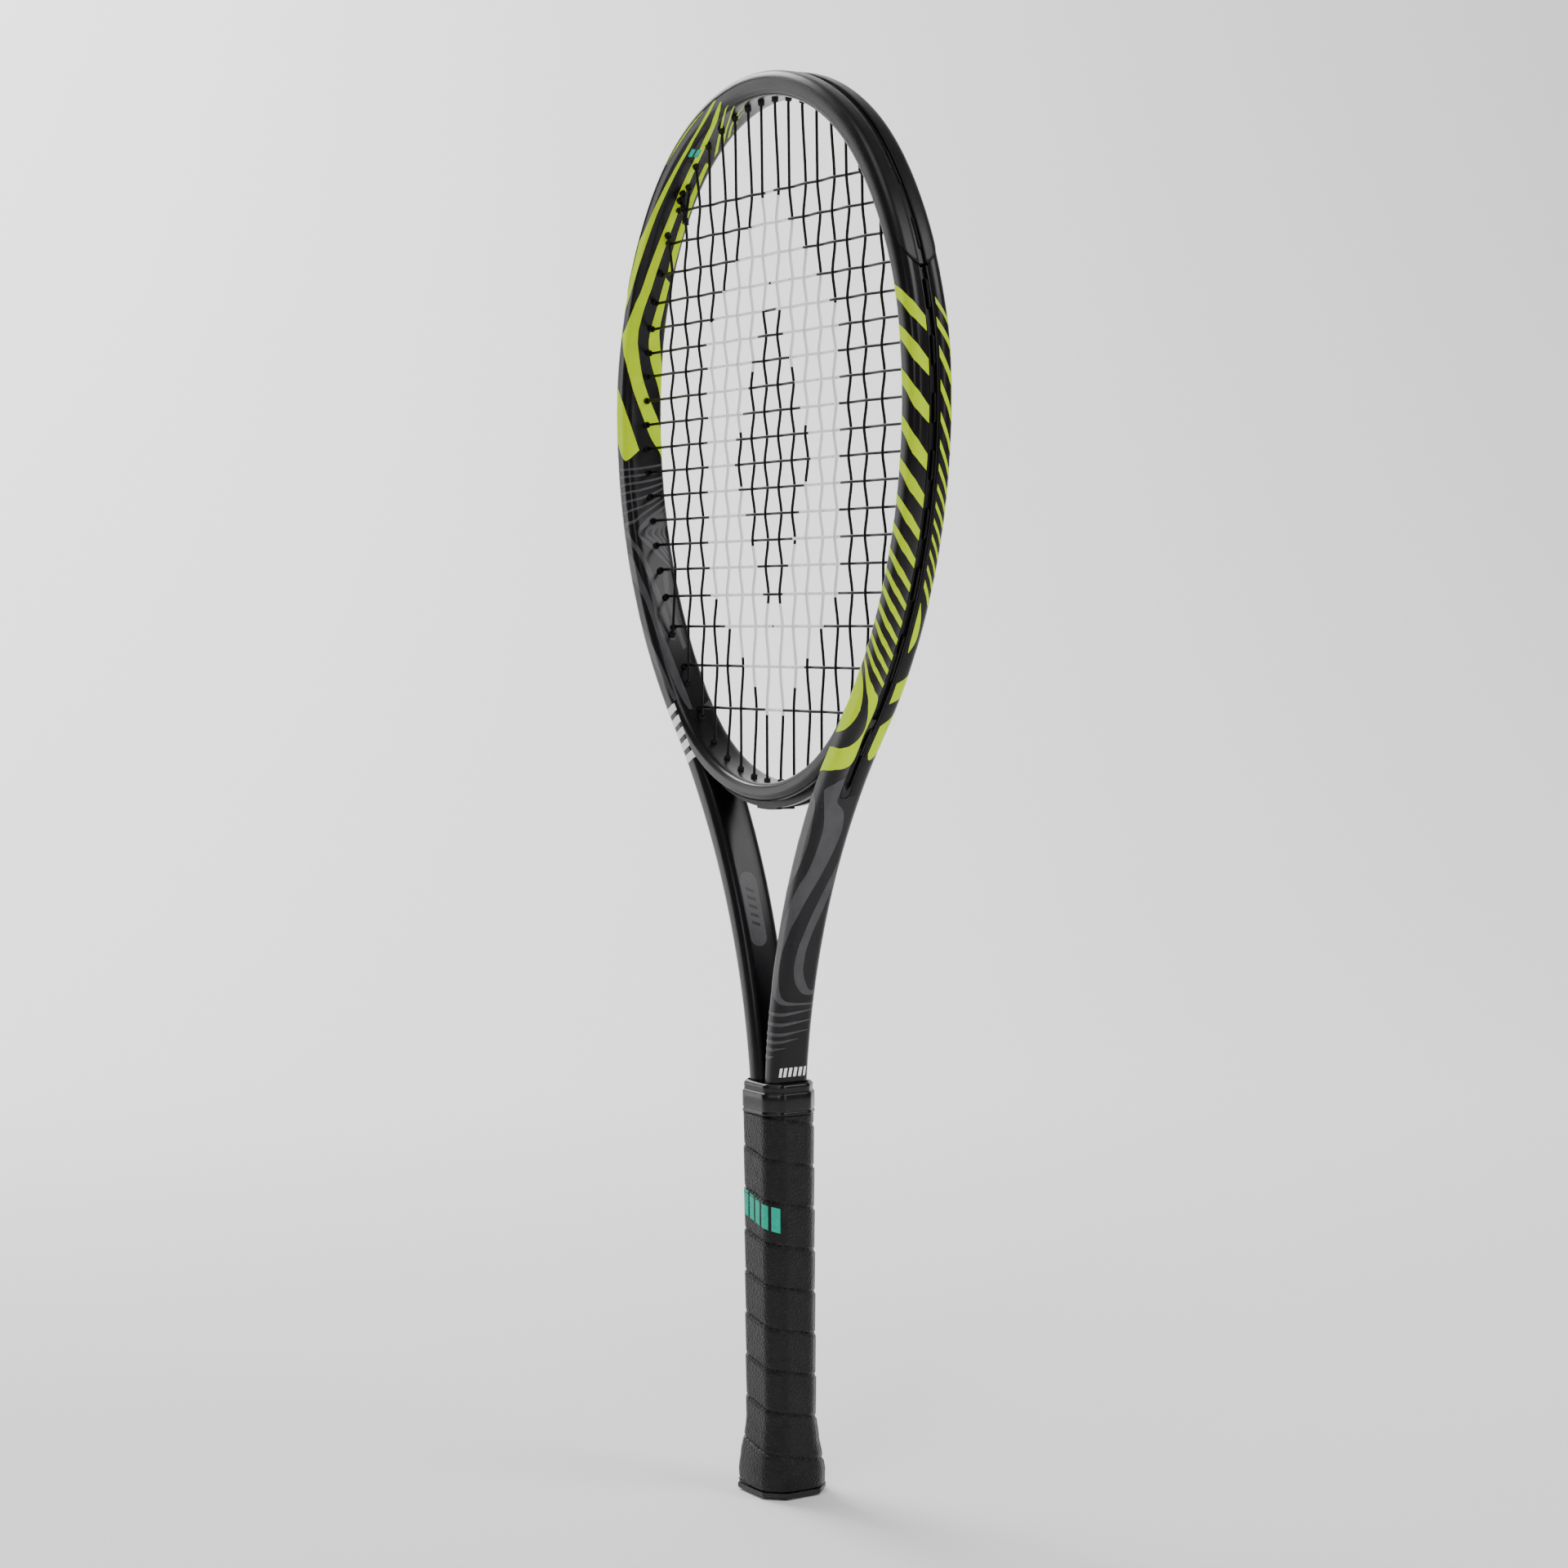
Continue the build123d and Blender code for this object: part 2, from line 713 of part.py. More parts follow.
# foam pallet, moulded in two halves round the legs of the hairpin
for side, name in ((-1, "handle_pallet_front"), (1, "handle_pallet_back")):
    with BuildPart() as pallet:
        add(sleeve(cap_top, pallet_top, 0))
        add(sleeve(pallet_bottom, cap_top, -cap_skin))
        with Locations((0, -side * pallet_y, pallet_top / 2)):
            Box(2 * pallet_x, 2 * pallet_y, 2 * pallet_top, mode=Mode.SUBTRACT)
        add(hairpin.part, mode=Mode.SUBTRACT)
        add(staples, mode=Mode.SUBTRACT)
    pallet.part.label = name
    export_step(pallet.part, f"parts/{name}.step")

with BuildPart() as butt_cap:
    add(flare(0))
    add(sleeve(cap_top, pallet_top, grip_thickness), mode=Mode.SUBTRACT)
    add(sleeve(0, grip_bottom, butt_levels[0][1] + grip_thickness - cap_rim_inset))
    fillet(butt_cap.faces().sort_by(Axis.Z)[0].edges(), cap_rim_fillet)
    add(sleeve(cap_floor, cap_top, -cap_skin), mode=Mode.SUBTRACT)
    with BuildSketch(Plane.XY) as window:
        Rectangle(door_x, door_y)
    extrude(amount=cap_floor, mode=Mode.SUBTRACT)
    with BuildSketch(Plane.XY) as rebate:
        Rectangle(door_x + 2 * door_flange, door_y + 2 * door_flange)
    extrude(amount=door_flange_thickness, mode=Mode.SUBTRACT)
    add(staples, mode=Mode.SUBTRACT)
butt_cap.part.label = "butt_cap"
export_step(butt_cap.part, "parts/butt_cap.step")

with BuildPart() as trap_door:
    with BuildSketch(Plane.XY) as flange:
        Rectangle(door_x + 2 * door_flange - 2 * door_gap, door_y + 2 * door_flange - 2 * door_gap)
    extrude(amount=door_flange_thickness - door_gap)
    with BuildSketch(Plane.XY) as plug:
        Rectangle(door_x - 2 * door_gap, door_y - 2 * door_gap)
    extrude(amount=door_plug_top)
    with BuildSketch(Plane.XY.offset(door_plug_top)) as legs:
        with Locations(
            (door_x / 2 - door_gap - door_leg_thickness / 2, 0),
            (-door_x / 2 + door_gap + door_leg_thickness / 2, 0),
        ):
            Rectangle(door_leg_thickness, door_leg_width)
    extrude(amount=door_leg_top - door_plug_top)
trap_door.part.label = "trap_door"
export_step(trap_door.part, "parts/trap_door.step")

# grip: full thickness over the heel and the pallet, with a thin tail under the tape and collar
with BuildPart() as grip_wrap:
    add(flare(grip_thickness))
    add(sleeve(butt_levels[-1][0], grip_top, grip_thickness))
    add(sleeve(grip_top, grip_tail_top, grip_tail_thickness))
    add(sleeve(grip_bottom, grip_tail_top, 0), mode=Mode.SUBTRACT)
    add(flare(0), mode=Mode.SUBTRACT)
    add(staples, mode=Mode.SUBTRACT)
grip_wrap.part.label = "grip_wrap"
export_step(grip_wrap.part, "parts/grip_wrap.step")

with BuildPart() as finishing_tape:
    add(sleeve(tape_bottom, tape_top, grip_tail_thickness + tape_thickness))
    add(sleeve(tape_bottom, tape_top, grip_tail_thickness), mode=Mode.SUBTRACT)
finishing_tape.part.label = "finishing_tape"
export_step(finishing_tape.part, "parts/finishing_tape.step")

with BuildPart() as rubber_collar:
    add(sleeve(collar_bottom, collar_top, collar_outside))
    chamfer(rubber_collar.faces().sort_by(Axis.Z)[-1].edges(), collar_top_bevel)
    add(sleeve(collar_bottom, collar_shoulder_z, collar_bore), mode=Mode.SUBTRACT)
    with BuildSketch(Plane.XY.offset(collar_shoulder_z)) as opening:
        RectangleRounded(collar_opening_x, collar_opening_y, collar_opening_corner)
    extrude(amount=collar_top - collar_shoulder_z, mode=Mode.SUBTRACT)
rubber_collar.part.label = "rubber_collar"
export_step(rubber_collar.part, "parts/rubber_collar.step")
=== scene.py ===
"""Looks of a strung tennis racket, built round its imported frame.

Lengths are millimetres in the frame's axes, and become metres where a mesh is made. The frame is described
by two coordinates on each side of the racket. s runs along the tube's centreline, from the foot of the
throat to the tip of the head. q runs round its section: 0 in the middle of the inner wall, 1 at the front
inner corner, 3 at the front outer corner, 4 in the middle of the outer wall, 5 and 7 at the back corners.
The stage, the lights and the camera are in metres.
"""
from math import acos, asin, cos, degrees, hypot, pi, radians, sin, sqrt

import bmesh
import bpy
from mathutils import Matrix, Vector


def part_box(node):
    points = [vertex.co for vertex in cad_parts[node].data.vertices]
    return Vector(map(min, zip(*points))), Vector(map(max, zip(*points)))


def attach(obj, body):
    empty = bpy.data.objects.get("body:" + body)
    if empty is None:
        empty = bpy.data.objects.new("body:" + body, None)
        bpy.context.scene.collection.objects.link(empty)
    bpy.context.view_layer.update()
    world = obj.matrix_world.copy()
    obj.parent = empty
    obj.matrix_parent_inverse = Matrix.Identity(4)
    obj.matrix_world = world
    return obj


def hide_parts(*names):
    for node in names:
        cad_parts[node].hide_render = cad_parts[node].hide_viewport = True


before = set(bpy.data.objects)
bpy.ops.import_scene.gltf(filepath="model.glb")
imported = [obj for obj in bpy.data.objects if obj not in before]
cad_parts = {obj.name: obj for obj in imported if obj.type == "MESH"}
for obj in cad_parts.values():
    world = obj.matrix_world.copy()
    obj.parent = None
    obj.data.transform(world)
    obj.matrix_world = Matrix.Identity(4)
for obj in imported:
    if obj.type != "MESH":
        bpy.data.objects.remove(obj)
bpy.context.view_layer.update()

MM = 0.001
ROOT = "racket"
COLLAR = "collar"


# ---- Meshes ----

def lattice(rows, first=0, wrap_rows=False, wrap_columns=False, caps=False):
    """Quads over rows of equally many points, numbered from first. wrap_columns closes each row to a ring."""
    count = len(rows)
    width = len(rows[0])
    faces = []
    for i in range(count if wrap_rows else count - 1):
        below = first + i * width
        above = first + (i + 1) % count * width
        for j in range(width if wrap_columns else width - 1):
            k = (j + 1) % width
            faces.append((below + j, below + k, above + k, above + j))
    if caps:
        faces.append(tuple(range(first, first + width)))
        faces.append(tuple(first + (count - 1) * width + j for j in reversed(range(width))))
    return faces


class Shape:
    """Points and faces of one piece, gathered from several closed parts."""

    def __init__(self):
        self.points = []
        self.faces = []

    def add(self, rows, **how):
        self.faces += lattice(rows, len(self.points), wrap_columns=True, **how)
        for row in rows:
            self.points += row

    def bar(self, rows):
        """A closed bar through the rings, with flat ends."""
        self.add(rows, caps=True)

    def loop(self, rows):
        """A closed form whose last ring joins the first."""
        self.add(rows, wrap_rows=True)

    def tube(self, path, radius, sides=12):
        """A round bar along a path, with flat ends."""
        path = [Vector(point) for point in path]
        along = (path[1] - path[0]).normalized()
        side = along.orthogonal().normalized()
        rows = []
        for i, point in enumerate(path):
            ahead = path[min(i + 1, len(path) - 1)] - path[max(i - 1, 0)]
            ahead.normalize()
            side = (side - ahead * side.dot(ahead)).normalized()
            up = ahead.cross(side)
            ring = []
            for k in range(sides):
                turn = 2 * pi * k / sides
                ring.append(point + radius * (cos(turn) * side + sin(turn) * up))
            rows.append(ring)
        self.bar(rows)

    def turned(self, start, axis, profile, sides=16):
        """A solid of revolution: profile is (distance along the axis, radius), as a closed ring."""
        axis = Vector(axis).normalized()
        side = axis.orthogonal().normalized()
        up = axis.cross(side)
        rows = []
        for k in range(sides):
            turn = 2 * pi * k / sides
            out = cos(turn) * side + sin(turn) * up
            rows.append([Vector(start) + axis * reach + out * radius for reach, radius in profile])
        self.loop(rows)

    def piece(self, name, material, replaces=(), body=ROOT, sharp=60):
        """Makes the mesh object, riding on a body. sharp is the angle above which an edge is shaded sharp."""
        mesh = bpy.data.meshes.new(name)
        mesh.from_pydata([Vector(point) * MM for point in self.points], [], self.faces)
        mesh.validate()
        mesh.materials.append(material)
        mesh.shade_smooth()
        mesh.set_sharp_from_angle(angle=radians(sharp))
        made = bpy.data.objects.new(name, mesh)
        bpy.context.scene.collection.objects.link(made)
        # the faces of each closed part turn outward
        work = bmesh.new()
        work.from_mesh(mesh)
        bmesh.ops.recalc_face_normals(work, faces=work.faces)
        work.to_mesh(mesh)
        work.free()
        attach(made, body)
        if replaces:
            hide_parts(*replaces)


def between(a, b, share):
    return a + (b - a) * share


def smoothstep(low, high, value):
    share = min(max((value - low) / (high - low), 0.0), 1.0)
    return share * share * (3 - 2 * share)


def along_curve(points, count):
    """Evenly stepped points on a smooth curve through the given ones."""
    result = []
    last = len(points) - 1
    for step in range(count):
        place = step / (count - 1) * last
        i = min(int(place), last - 1)
        t = place - i
        p1, p2 = points[i], points[i + 1]
        p0 = points[i - 1] if i else [2 * a - b for a, b in zip(p1, p2)]
        p3 = points[i + 2] if i + 2 <= last else [2 * b - a for a, b in zip(p1, p2)]
        result.append(tuple(
            0.5 * (2 * b + (c - a) * t + (2 * a - 5 * b + 4 * c - d) * t**2 + (3 * b - a - 3 * c + d) * t**3)
            for a, b, c, d in zip(p0, p1, p2, p3)
        ))
    return result


# ---- Materials ----

GRAIN_SCALE = 900


def fill(node, values):
    """Sets a node's own sockets."""
    for socket, value in values.items():
        node.inputs[socket].default_value = value


def relief(made, height, strength, distance):
    """Raises the surface by what a texture node gives first."""
    nodes = made.node_tree.nodes
    links = made.node_tree.links
    links.new(nodes["Texture Coordinate"].outputs["Object"], height.inputs["Vector"])
    raised = nodes.new("ShaderNodeBump")
    fill(raised, {"Strength": strength, "Distance": distance})
    links.new(height.outputs[0], raised.inputs["Height"])
    links.new(raised.outputs["Normal"], nodes["Principled BSDF"].inputs["Normal"])


def material(name, color, roughness, metallic=0.0, variation=0.25, scale=180.0,
             bump=0.0, spread=0.06, specular=0.4):
    """Principled paint or plastic: mottled colour, uneven gloss and, with bump, a fine surface texture."""
    made = bpy.data.materials.new(name)
    made.use_nodes = True
    nodes = made.node_tree.nodes
    links = made.node_tree.links
    shader = nodes["Principled BSDF"]
    place = nodes.new("ShaderNodeTexCoord")
    mottle = nodes.new("ShaderNodeTexNoise")
    fill(mottle, {"Scale": scale, "Detail": 5})
    links.new(place.outputs["Object"], mottle.inputs["Vector"])
    ramp = nodes.new("ShaderNodeValToRGB")
    dark, pale = ramp.color_ramp.elements
    dark.position = 0.3
    pale.position = 0.7
    dark.color = [c * (1 - variation) for c in color] + [1]
    pale.color = [min(c * (1 + variation), 1) for c in color] + [1]
    links.new(mottle.outputs["Fac"], ramp.inputs["Fac"])
    links.new(ramp.outputs["Color"], shader.inputs["Base Color"])
    gloss = nodes.new("ShaderNodeMapRange")
    fill(gloss, {"To Min": roughness - spread, "To Max": roughness + spread})
    links.new(mottle.outputs["Fac"], gloss.inputs["Value"])
    links.new(gloss.outputs["Result"], shader.inputs["Roughness"])
    fill(shader, {"Metallic": metallic, "Specular IOR Level": specular})
    if bump:
        grain = nodes.new("ShaderNodeTexNoise")
        fill(grain, {"Scale": GRAIN_SCALE, "Detail": 3})
        relief(made, grain, bump, 0.0002)
    return made


def leather():
    """Black synthetic leather: cells of grain in the bump."""
    made = material("grip_leather", (0.0045, 0.004, 0.0047), 0.38, variation=0.35, scale=260,
                    spread=0.08, specular=0.24)
    cells = made.node_tree.nodes.new("ShaderNodeTexVoronoi")
    fill(cells, {"Scale": 1000})
    relief(made, cells, 0.9, 0.0004)
    return made


PAINT = material("frame_paint", (0.0045, 0.0035, 0.0048), 0.26, variation=0.2, scale=60,
                 spread=0.04, specular=0.24)
LIME = material("lime_paint", (0.54, 0.76, 0.0), 0.32, variation=0.04, scale=90, spread=0.04, specular=0.06)
GREY = material("grey_paint", (0.058, 0.055, 0.06), 0.3, variation=0.14, scale=120, specular=0.24)
WHITE = material("white_ink", (0.9, 0.9, 0.9), 0.55, variation=0.05, scale=700)
TEAL = material("teal_ink", (0.0, 0.42, 0.28), 0.5, variation=0.12, scale=500, bump=0.3, specular=0.2)
GUARD = material("guard_plastic", (0.005, 0.004, 0.0053), 0.34, variation=0.2, scale=90,
                 bump=0.06, specular=0.26)
NYLON = material("grommet_nylon", (0.004, 0.0036, 0.004), 0.4, variation=0.2, scale=150,
                 bump=0.1, specular=0.25)
STRING = material("string_gut", (0.003, 0.003, 0.0035), 0.35, variation=0.3, scale=600,
                  bump=0.15, specular=0.18)
RUBBER = material("collar_rubber", (0.004, 0.0036, 0.004), 0.22, variation=0.25, scale=200,
                  bump=0.15, specular=0.28)
PLASTIC = material("cap_plastic", (0.007, 0.007, 0.007), 0.45, variation=0.25, scale=200, bump=0.3)
FOAM = material("pallet_foam", (0.1, 0.1, 0.1), 0.8, variation=0.3, scale=400, bump=0.5)
STEEL = material("staple_steel", (0.5, 0.5, 0.5), 0.35, metallic=1.0, variation=0.15, scale=600)
TAPE = material("vinyl_tape", (0.008, 0.008, 0.008), 0.35, variation=0.2, scale=300, bump=0.2)
LEATHER = leather()

for node, made in (
    ("handle_pallet_front", FOAM),
    ("handle_pallet_back", FOAM),
    ("butt_cap_staples", STEEL),
    ("grip_tack", STEEL),
    ("finishing_tape", TAPE),
    ("butt_cap", PLASTIC),
    ("trap_door", PLASTIC),
    ("grommet_strip_throat", NYLON),
):
    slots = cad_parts[node].data.materials
    for index in range(len(slots)):
        slots[index] = made


# ---- The hairpin's centreline and section ----

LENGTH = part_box("frame_tube")[1].z / MM
TUBE = 12.4
BEAM = 22.5
CORNER = 4.2
SHAFT = 12.0
SHAFT_BEAM = 20.5
SHAFT_CORNER = 5.0
LEG_X = 5.7
SHAFT_BOTTOM = 12.0
THROAT_RADIUS = 320.0
SIDE_RADIUS = 240.0
SHOULDER_RADIUS = 170.0
THROAT_ANGLE = 39.0
SIDE_ANGLE = -2.0
SHOULDER_ANGLE = -37.0
TIP_ANGLE = -90.0
HEAD_SECTION_ANGLE = 31.0
GROOVE_HALF = 2.7
GROOVE_DEPTH = 3.2


def arc_point(arc, phi, out=0.0):
    """x and z at an angle of an arc, which is its centre and radius. A hollow bend has a negative radius."""
    x, z, radius = arc
    return x + (radius + out) * cos(radians(phi)), z - (radius + out) * sin(radians(phi))


def next_arc(arc, phi, radius):
    """The arc that takes over smoothly at this angle."""
    x, z = arc_point(arc, phi)
    return x - radius * cos(radians(phi)), z + radius * sin(radians(phi)), radius


def hairpin_arcs():
    """Each arc with the angles of its outward normal, from the throat to the tip."""
    throat = (LEG_X + THROAT_RADIUS, 0.0, -THROAT_RADIUS)
    side = next_arc(throat, THROAT_ANGLE, SIDE_RADIUS)
    shoulder = next_arc(side, SIDE_ANGLE, SHOULDER_RADIUS)
    top_radius = arc_point(shoulder, SHOULDER_ANGLE)[0] / cos(radians(SHOULDER_ANGLE))
    top = next_arc(shoulder, SHOULDER_ANGLE, top_radius)
    raise_by = LENGTH - TUBE / 2 - arc_point(top, TIP_ANGLE)[1]
    spans = ((throat, 0.0, THROAT_ANGLE), (side, THROAT_ANGLE, SIDE_ANGLE),
             (shoulder, SIDE_ANGLE, SHOULDER_ANGLE), (top, SHOULDER_ANGLE, TIP_ANGLE))
    return [((x, z + raise_by, radius), start, end) for (x, z, radius), start, end in spans]


ARCS = hairpin_arcs()
ARC_LENGTHS = [abs(arc[2]) * radians(abs(end - start)) for arc, start, end in ARCS]
S_TIP = sum(ARC_LENGTHS)
FOOT_Z = ARCS[0][0][1]
S_HEAD = THROAT_RADIUS * radians(HEAD_SECTION_ANGLE)
S_GROOVE = THROAT_RADIUS * radians(32.2)
S_GUARD_EASE = 400.0
S_GUARD = 437.0
GUARD_PROUD = 0.35


def centre(s):
    """The centreline's x and z, and the angle of its outward normal."""
    if s < 0:
        return LEG_X, FOOT_Z + s, 0.0
    for (arc, start, end), reach in zip(ARCS, ARC_LENGTHS):
        if s <= reach:
            break
        s -= reach
    else:
        s += reach
    phi = start + (end - start) * s / reach
    return *arc_point(arc, phi), phi


def section(s):
    """Half width, half beam and corner radius. It draws in a little under the guard."""
    share = min(max(s / S_HEAD, 0.0), 1.0)
    inset = GUARD_PROUD * smoothstep(S_GUARD_EASE, S_GUARD, s)
    width = between(SHAFT, TUBE, share) / 2 - inset
    depth = between(SHAFT_BEAM, BEAM, share) / 2 - inset
    return width, depth, between(SHAFT_CORNER, CORNER, share)


def around(q, width, depth, corner):
    """(outward, across) and the normal there, for q round a section with rounded corners."""
    q %= 8
    walls = ((-width, -q * depth), (-width + (q - 1) * width, -depth), (width, (q - 4) * depth),
             (width - (q - 5) * width, depth), (-width, (8 - q) * depth))
    n, y = walls[0 if q <= 1 else 1 if q <= 3 else 2 if q <= 5 else 3 if q <= 7 else 4]
    near_n = abs(n) - (width - corner)
    near_y = abs(y) - (depth - corner)
    sign_n = 1 if n > 0 else -1
    sign_y = 1 if y > 0 else -1
    if near_n > 0 and near_y > 0:
        turn = 45 * near_y / corner if near_n >= near_y else 90 - 45 * near_n / corner
        out = sign_n * cos(radians(turn))
        up = sign_y * sin(radians(turn))
        return sign_n * (width - corner) + corner * out, sign_y * (depth - corner) + corner * up, out, up
    if near_n >= near_y + corner or abs(n) >= width - 1e-9:
        return n, y, sign_n, 0
    return n, y, 0, sign_y


def place(side, s, n, y):
    """The point at a distance outward and across from the centreline."""
    x, z, phi = centre(s)
    return side * (x + n * cos(radians(phi))), y, z - n * sin(radians(phi))


def surface(side, s, q, off=0.0):
    """A point on the frame, or off it along the normal. Past the tip it goes on down the other side."""
    if s > S_TIP:
        side = -side
        s = 2 * S_TIP - s
    n, y, normal_n, normal_y = around(q, *section(s))
    return place(side, s, n + off * normal_n, y + off * normal_y)


def groove_share(s):
    """The groove's plan shape: 0 before it starts, a round end, then 1."""
    into = (s - S_GROOVE) / GROOVE_HALF
    if into <= 0:
        return 0.0
    return sqrt(1 - (1 - into)**2) if into < 1 else 1.0


def frame_section(s):
    """Half of the frame's section, front side, from the middle of the inner wall into the groove."""
    width, depth, corner = section(s)
    on_depth = corner / depth
    on_width = corner / width
    angles = (0, 0.35, 0.7, 1.0)
    stations = [0, 0.35] + [1 - on_depth * (1 - t) for t in angles] + [1 + on_width * t for t in angles[1:]]
    stations += [2.0]
    stations += [3 - on_width * (1 - t) for t in angles] + [3 + on_depth * t for t in angles[1:]]
    half = [around(q, width, depth, corner)[:2] for q in stations]
    share = groove_share(s)
    wide = max(GROOVE_HALF * share, 0.05)
    if share:
        deep, lip, lip_drop = GROOVE_DEPTH, 0.3, 0.3
    else:
        deep, lip, lip_drop = 0.0, 0.01, 0.0
    floor = width - deep
    return half + [(width, -wide - lip), (width - lip_drop, -wide), (floor, -wide), (floor, 0)]


def evenly(start, stop):
    """Values of s after start, up to stop."""
    count = int((stop - start) / 2.4)
    return [start + (stop - start) * i / count for i in range(1, count + 1)]


def frame_stations():
    """Values of s up one side, closer together at the groove's round end."""
    values = [SHAFT_BOTTOM - FOOT_Z, -60, -20]
    values += [2.5 * i for i in range(int(S_GROOVE / 2.5))]
    values += [S_GROOVE - 0.01, S_GROOVE + 0.01]
    values += [S_GROOVE + GROOVE_HALF * (1 - cos(radians(angle))) for angle in range(15, 91, 15)]
    return values + evenly(values[-1], S_TIP)


def build_frame():
    shape = Shape()
    rows = []
    stations = frame_stations()
    for side, run in ((1, stations), (-1, reversed(stations[:-1]))):
        for s in run:
            half = frame_section(s)
            ring = half + [(n, -y) for n, y in reversed(half[1:-1])]
            rows.append([place(side, s, n, y) for n, y in ring])
    shape.bar(rows)
    shape.piece("frame_shell", PAINT, ("frame_tube",), sharp=50)


# ---- Yoke ----

BRIDGE_Z = 346.0
BRIDGE_DEPTH = 9.0
BRIDGE_CORNER = 3.4


def bridge_circle():
    """Centre height and radius of the yoke's inner face, tangent to the inside of the head."""
    x, z, radius = ARCS[1][0]
    inner = radius - TUBE / 2
    drop = z - BRIDGE_Z
    bridge = (inner**2 - x**2 - drop**2) / (2 * (inner - drop))
    return BRIDGE_Z + bridge, bridge


BRIDGE_CENTRE, BRIDGE_INNER = bridge_circle()


def bridge_point(phi, out, y):
    """phi is 90 in the middle of the yoke, and runs through to the far side. out is 0 on its inner face."""
    reach = BRIDGE_INNER + out
    return reach * cos(radians(phi)), y, BRIDGE_CENTRE - reach * sin(radians(phi))


def build_bridge():
    shape = Shape()
    rows = []
    reach = 90 - HEAD_ARCS[0][2] + 1.5
    steps = 60
    sides = 48
    for step in range(steps + 1):
        phi = 90 - reach + 2 * reach * step / steps
        swell = 2.5 * smoothstep(reach - 14, reach, abs(phi - 90))
        width, depth = (BRIDGE_DEPTH + swell) / 2, BEAM / 2 - 0.15
        ring = []
        for k in range(sides):
            n, y = around(8 * k / sides, width, depth, BRIDGE_CORNER)[:2]
            ring.append(bridge_point(phi, n + width, y))
        rows.append(ring)
    shape.bar(rows)
    shape.piece("throat_yoke", PAINT, ("throat_bridge",))


# ---- Head guard and strips ----

GUARD_LIP_Q = 2.42
GUARD_SINK = 0.9
WALL_REACH = 0.76
STRIP_FACE = 0.25
SLOT_HALF = 1.75
SLOT_DEPTH = 2.2


def guard_end(q):
    """Where the guard starts up the frame: highest on its lips, and a tongue beside the groove."""
    from_middle = abs(q - 4) - GROOVE_HALF / (BEAM / 2)
    on_wall = min(max(from_middle / WALL_REACH, 0.0), 1.0)
    on_lip = max(from_middle - WALL_REACH, 0.0) / 0.6
    return S_GUARD + 9 * on_wall**1.6 + 22 * on_lip**1.3


def guard_s(q, share):
    """s at a share of the way over the head, from the guard's end on one side to its end on the other."""
    start = guard_end(q)
    return between(start, 2 * S_TIP - start, share)


def guard_section():
    """Half of the guard's section as (q, height off the frame), from its lip to the edge of the groove."""
    lip = [(GUARD_LIP_Q, -0.4), (GUARD_LIP_Q + 0.01, 0.1), (GUARD_LIP_Q + 0.06, GUARD_PROUD)]
    wall = (2.6, 2.75, 2.88, 3.0, 3.08, 3.16, 3.26, 3.38, 3.55, 3.7, 3.8)
    return lip + [(q, GUARD_PROUD) for q in wall] + [(3.835, 0.15)]


def build_guard():
    """Rails over the outer wall and a slotted channel between them, over the head from side to side."""
    shape = Shape()
    half = guard_section()
    rows = []
    steps = 170
    for step in range(steps + 1):
        share = step / steps
        row = []
        for side_q in (1, -1):
            part = [surface(1, guard_s(q, share), 4 - side_q * (4 - q), off) for q, off in half]
            s = guard_s(4, share)
            side, at = (1, s) if s <= S_TIP else (-1, 2 * S_TIP - s)
            part.append(place(side, at, section(at)[0] - SLOT_DEPTH, -side_q * SLOT_HALF))
            row += part if side_q == 1 else list(reversed(part))
        inner = (8 - GUARD_LIP_Q, 5.0, 4.3, 3.7, 3.0, GUARD_LIP_Q)
        rows.append(row + [surface(1, guard_s(q, share), q, -GUARD_SINK) for q in inner])
    shape.bar(rows)
    shape.piece("head_guard", GUARD, ("bumper_guard",), sharp=40)


def build_strip(side, name, node):
    """A strip that lines the groove, flush with the frame, with a slot for the string loops."""
    shape = Shape()
    clear = 0.14
    start = S_GROOVE + clear
    round_end = GROOVE_HALF - clear
    values = [start + round_end * (1 - cos(radians(angle))) for angle in range(8, 91, 12)]
    values += evenly(values[-1], S_GUARD - 1.0)
    slot_start = start + 5.0
    rows = []
    for s in values:
        into = min((s - start) / round_end, 1.0)
        half = max(round_end * sqrt(1 - (1 - into)**2), 0.2)
        slot_into = min(max((s - slot_start) / SLOT_HALF, 0.0), 1.0)
        slot_half = SLOT_HALF * sqrt(1 - (1 - slot_into)**2)
        width = section(s)[0]
        top = width - STRIP_FACE
        floor = width - SLOT_DEPTH if slot_into else top
        slot_half = max(slot_half, 0.03)
        rim = min(slot_half + 0.15, half - 0.25)
        front = [(width - GROOVE_DEPTH, -half), (top - 0.25, -half), (top, -half + 0.2), (top, -rim),
                 (min(top, floor + 1.8), -slot_half), (floor, -slot_half)]
        ring = front + [(n, -y) for n, y in reversed(front)]
        rows.append([place(side, s, n, y) for n, y in ring])
    shape.bar(rows)
    shape.piece(name, NYLON, (node,), sharp=40)


# ---- Strings ----

STRING_RADIUS = 0.7
WEAVE = 0.75
ROW = 0.9
MAIN_X = (6.2, 18.2, 30.4, 42.8, 55.2, 67.6, 80.8, 95.8)
CROSS_Z = (629.3, 614.3, 599.6, 585.8, 573.0, 561.0, 549.2, 537.0, 524.8, 512.6,
           500.4, 488.1, 475.6, 463.1, 450.4, 436.8, 421.4, 401.9, 381.0)
MOUTH = 2.0
LOOP_DEPTH = 1.1
NEAREST_CROSSING = 9.0
HOLE_TURN = 3.0
TIE_SPACING = 4.2
MOUTH_BEND = 1.9
MOUTH_LEAD = 2.2
GROOVE_BEND = 1.5
KNOT_TURN = 1.25


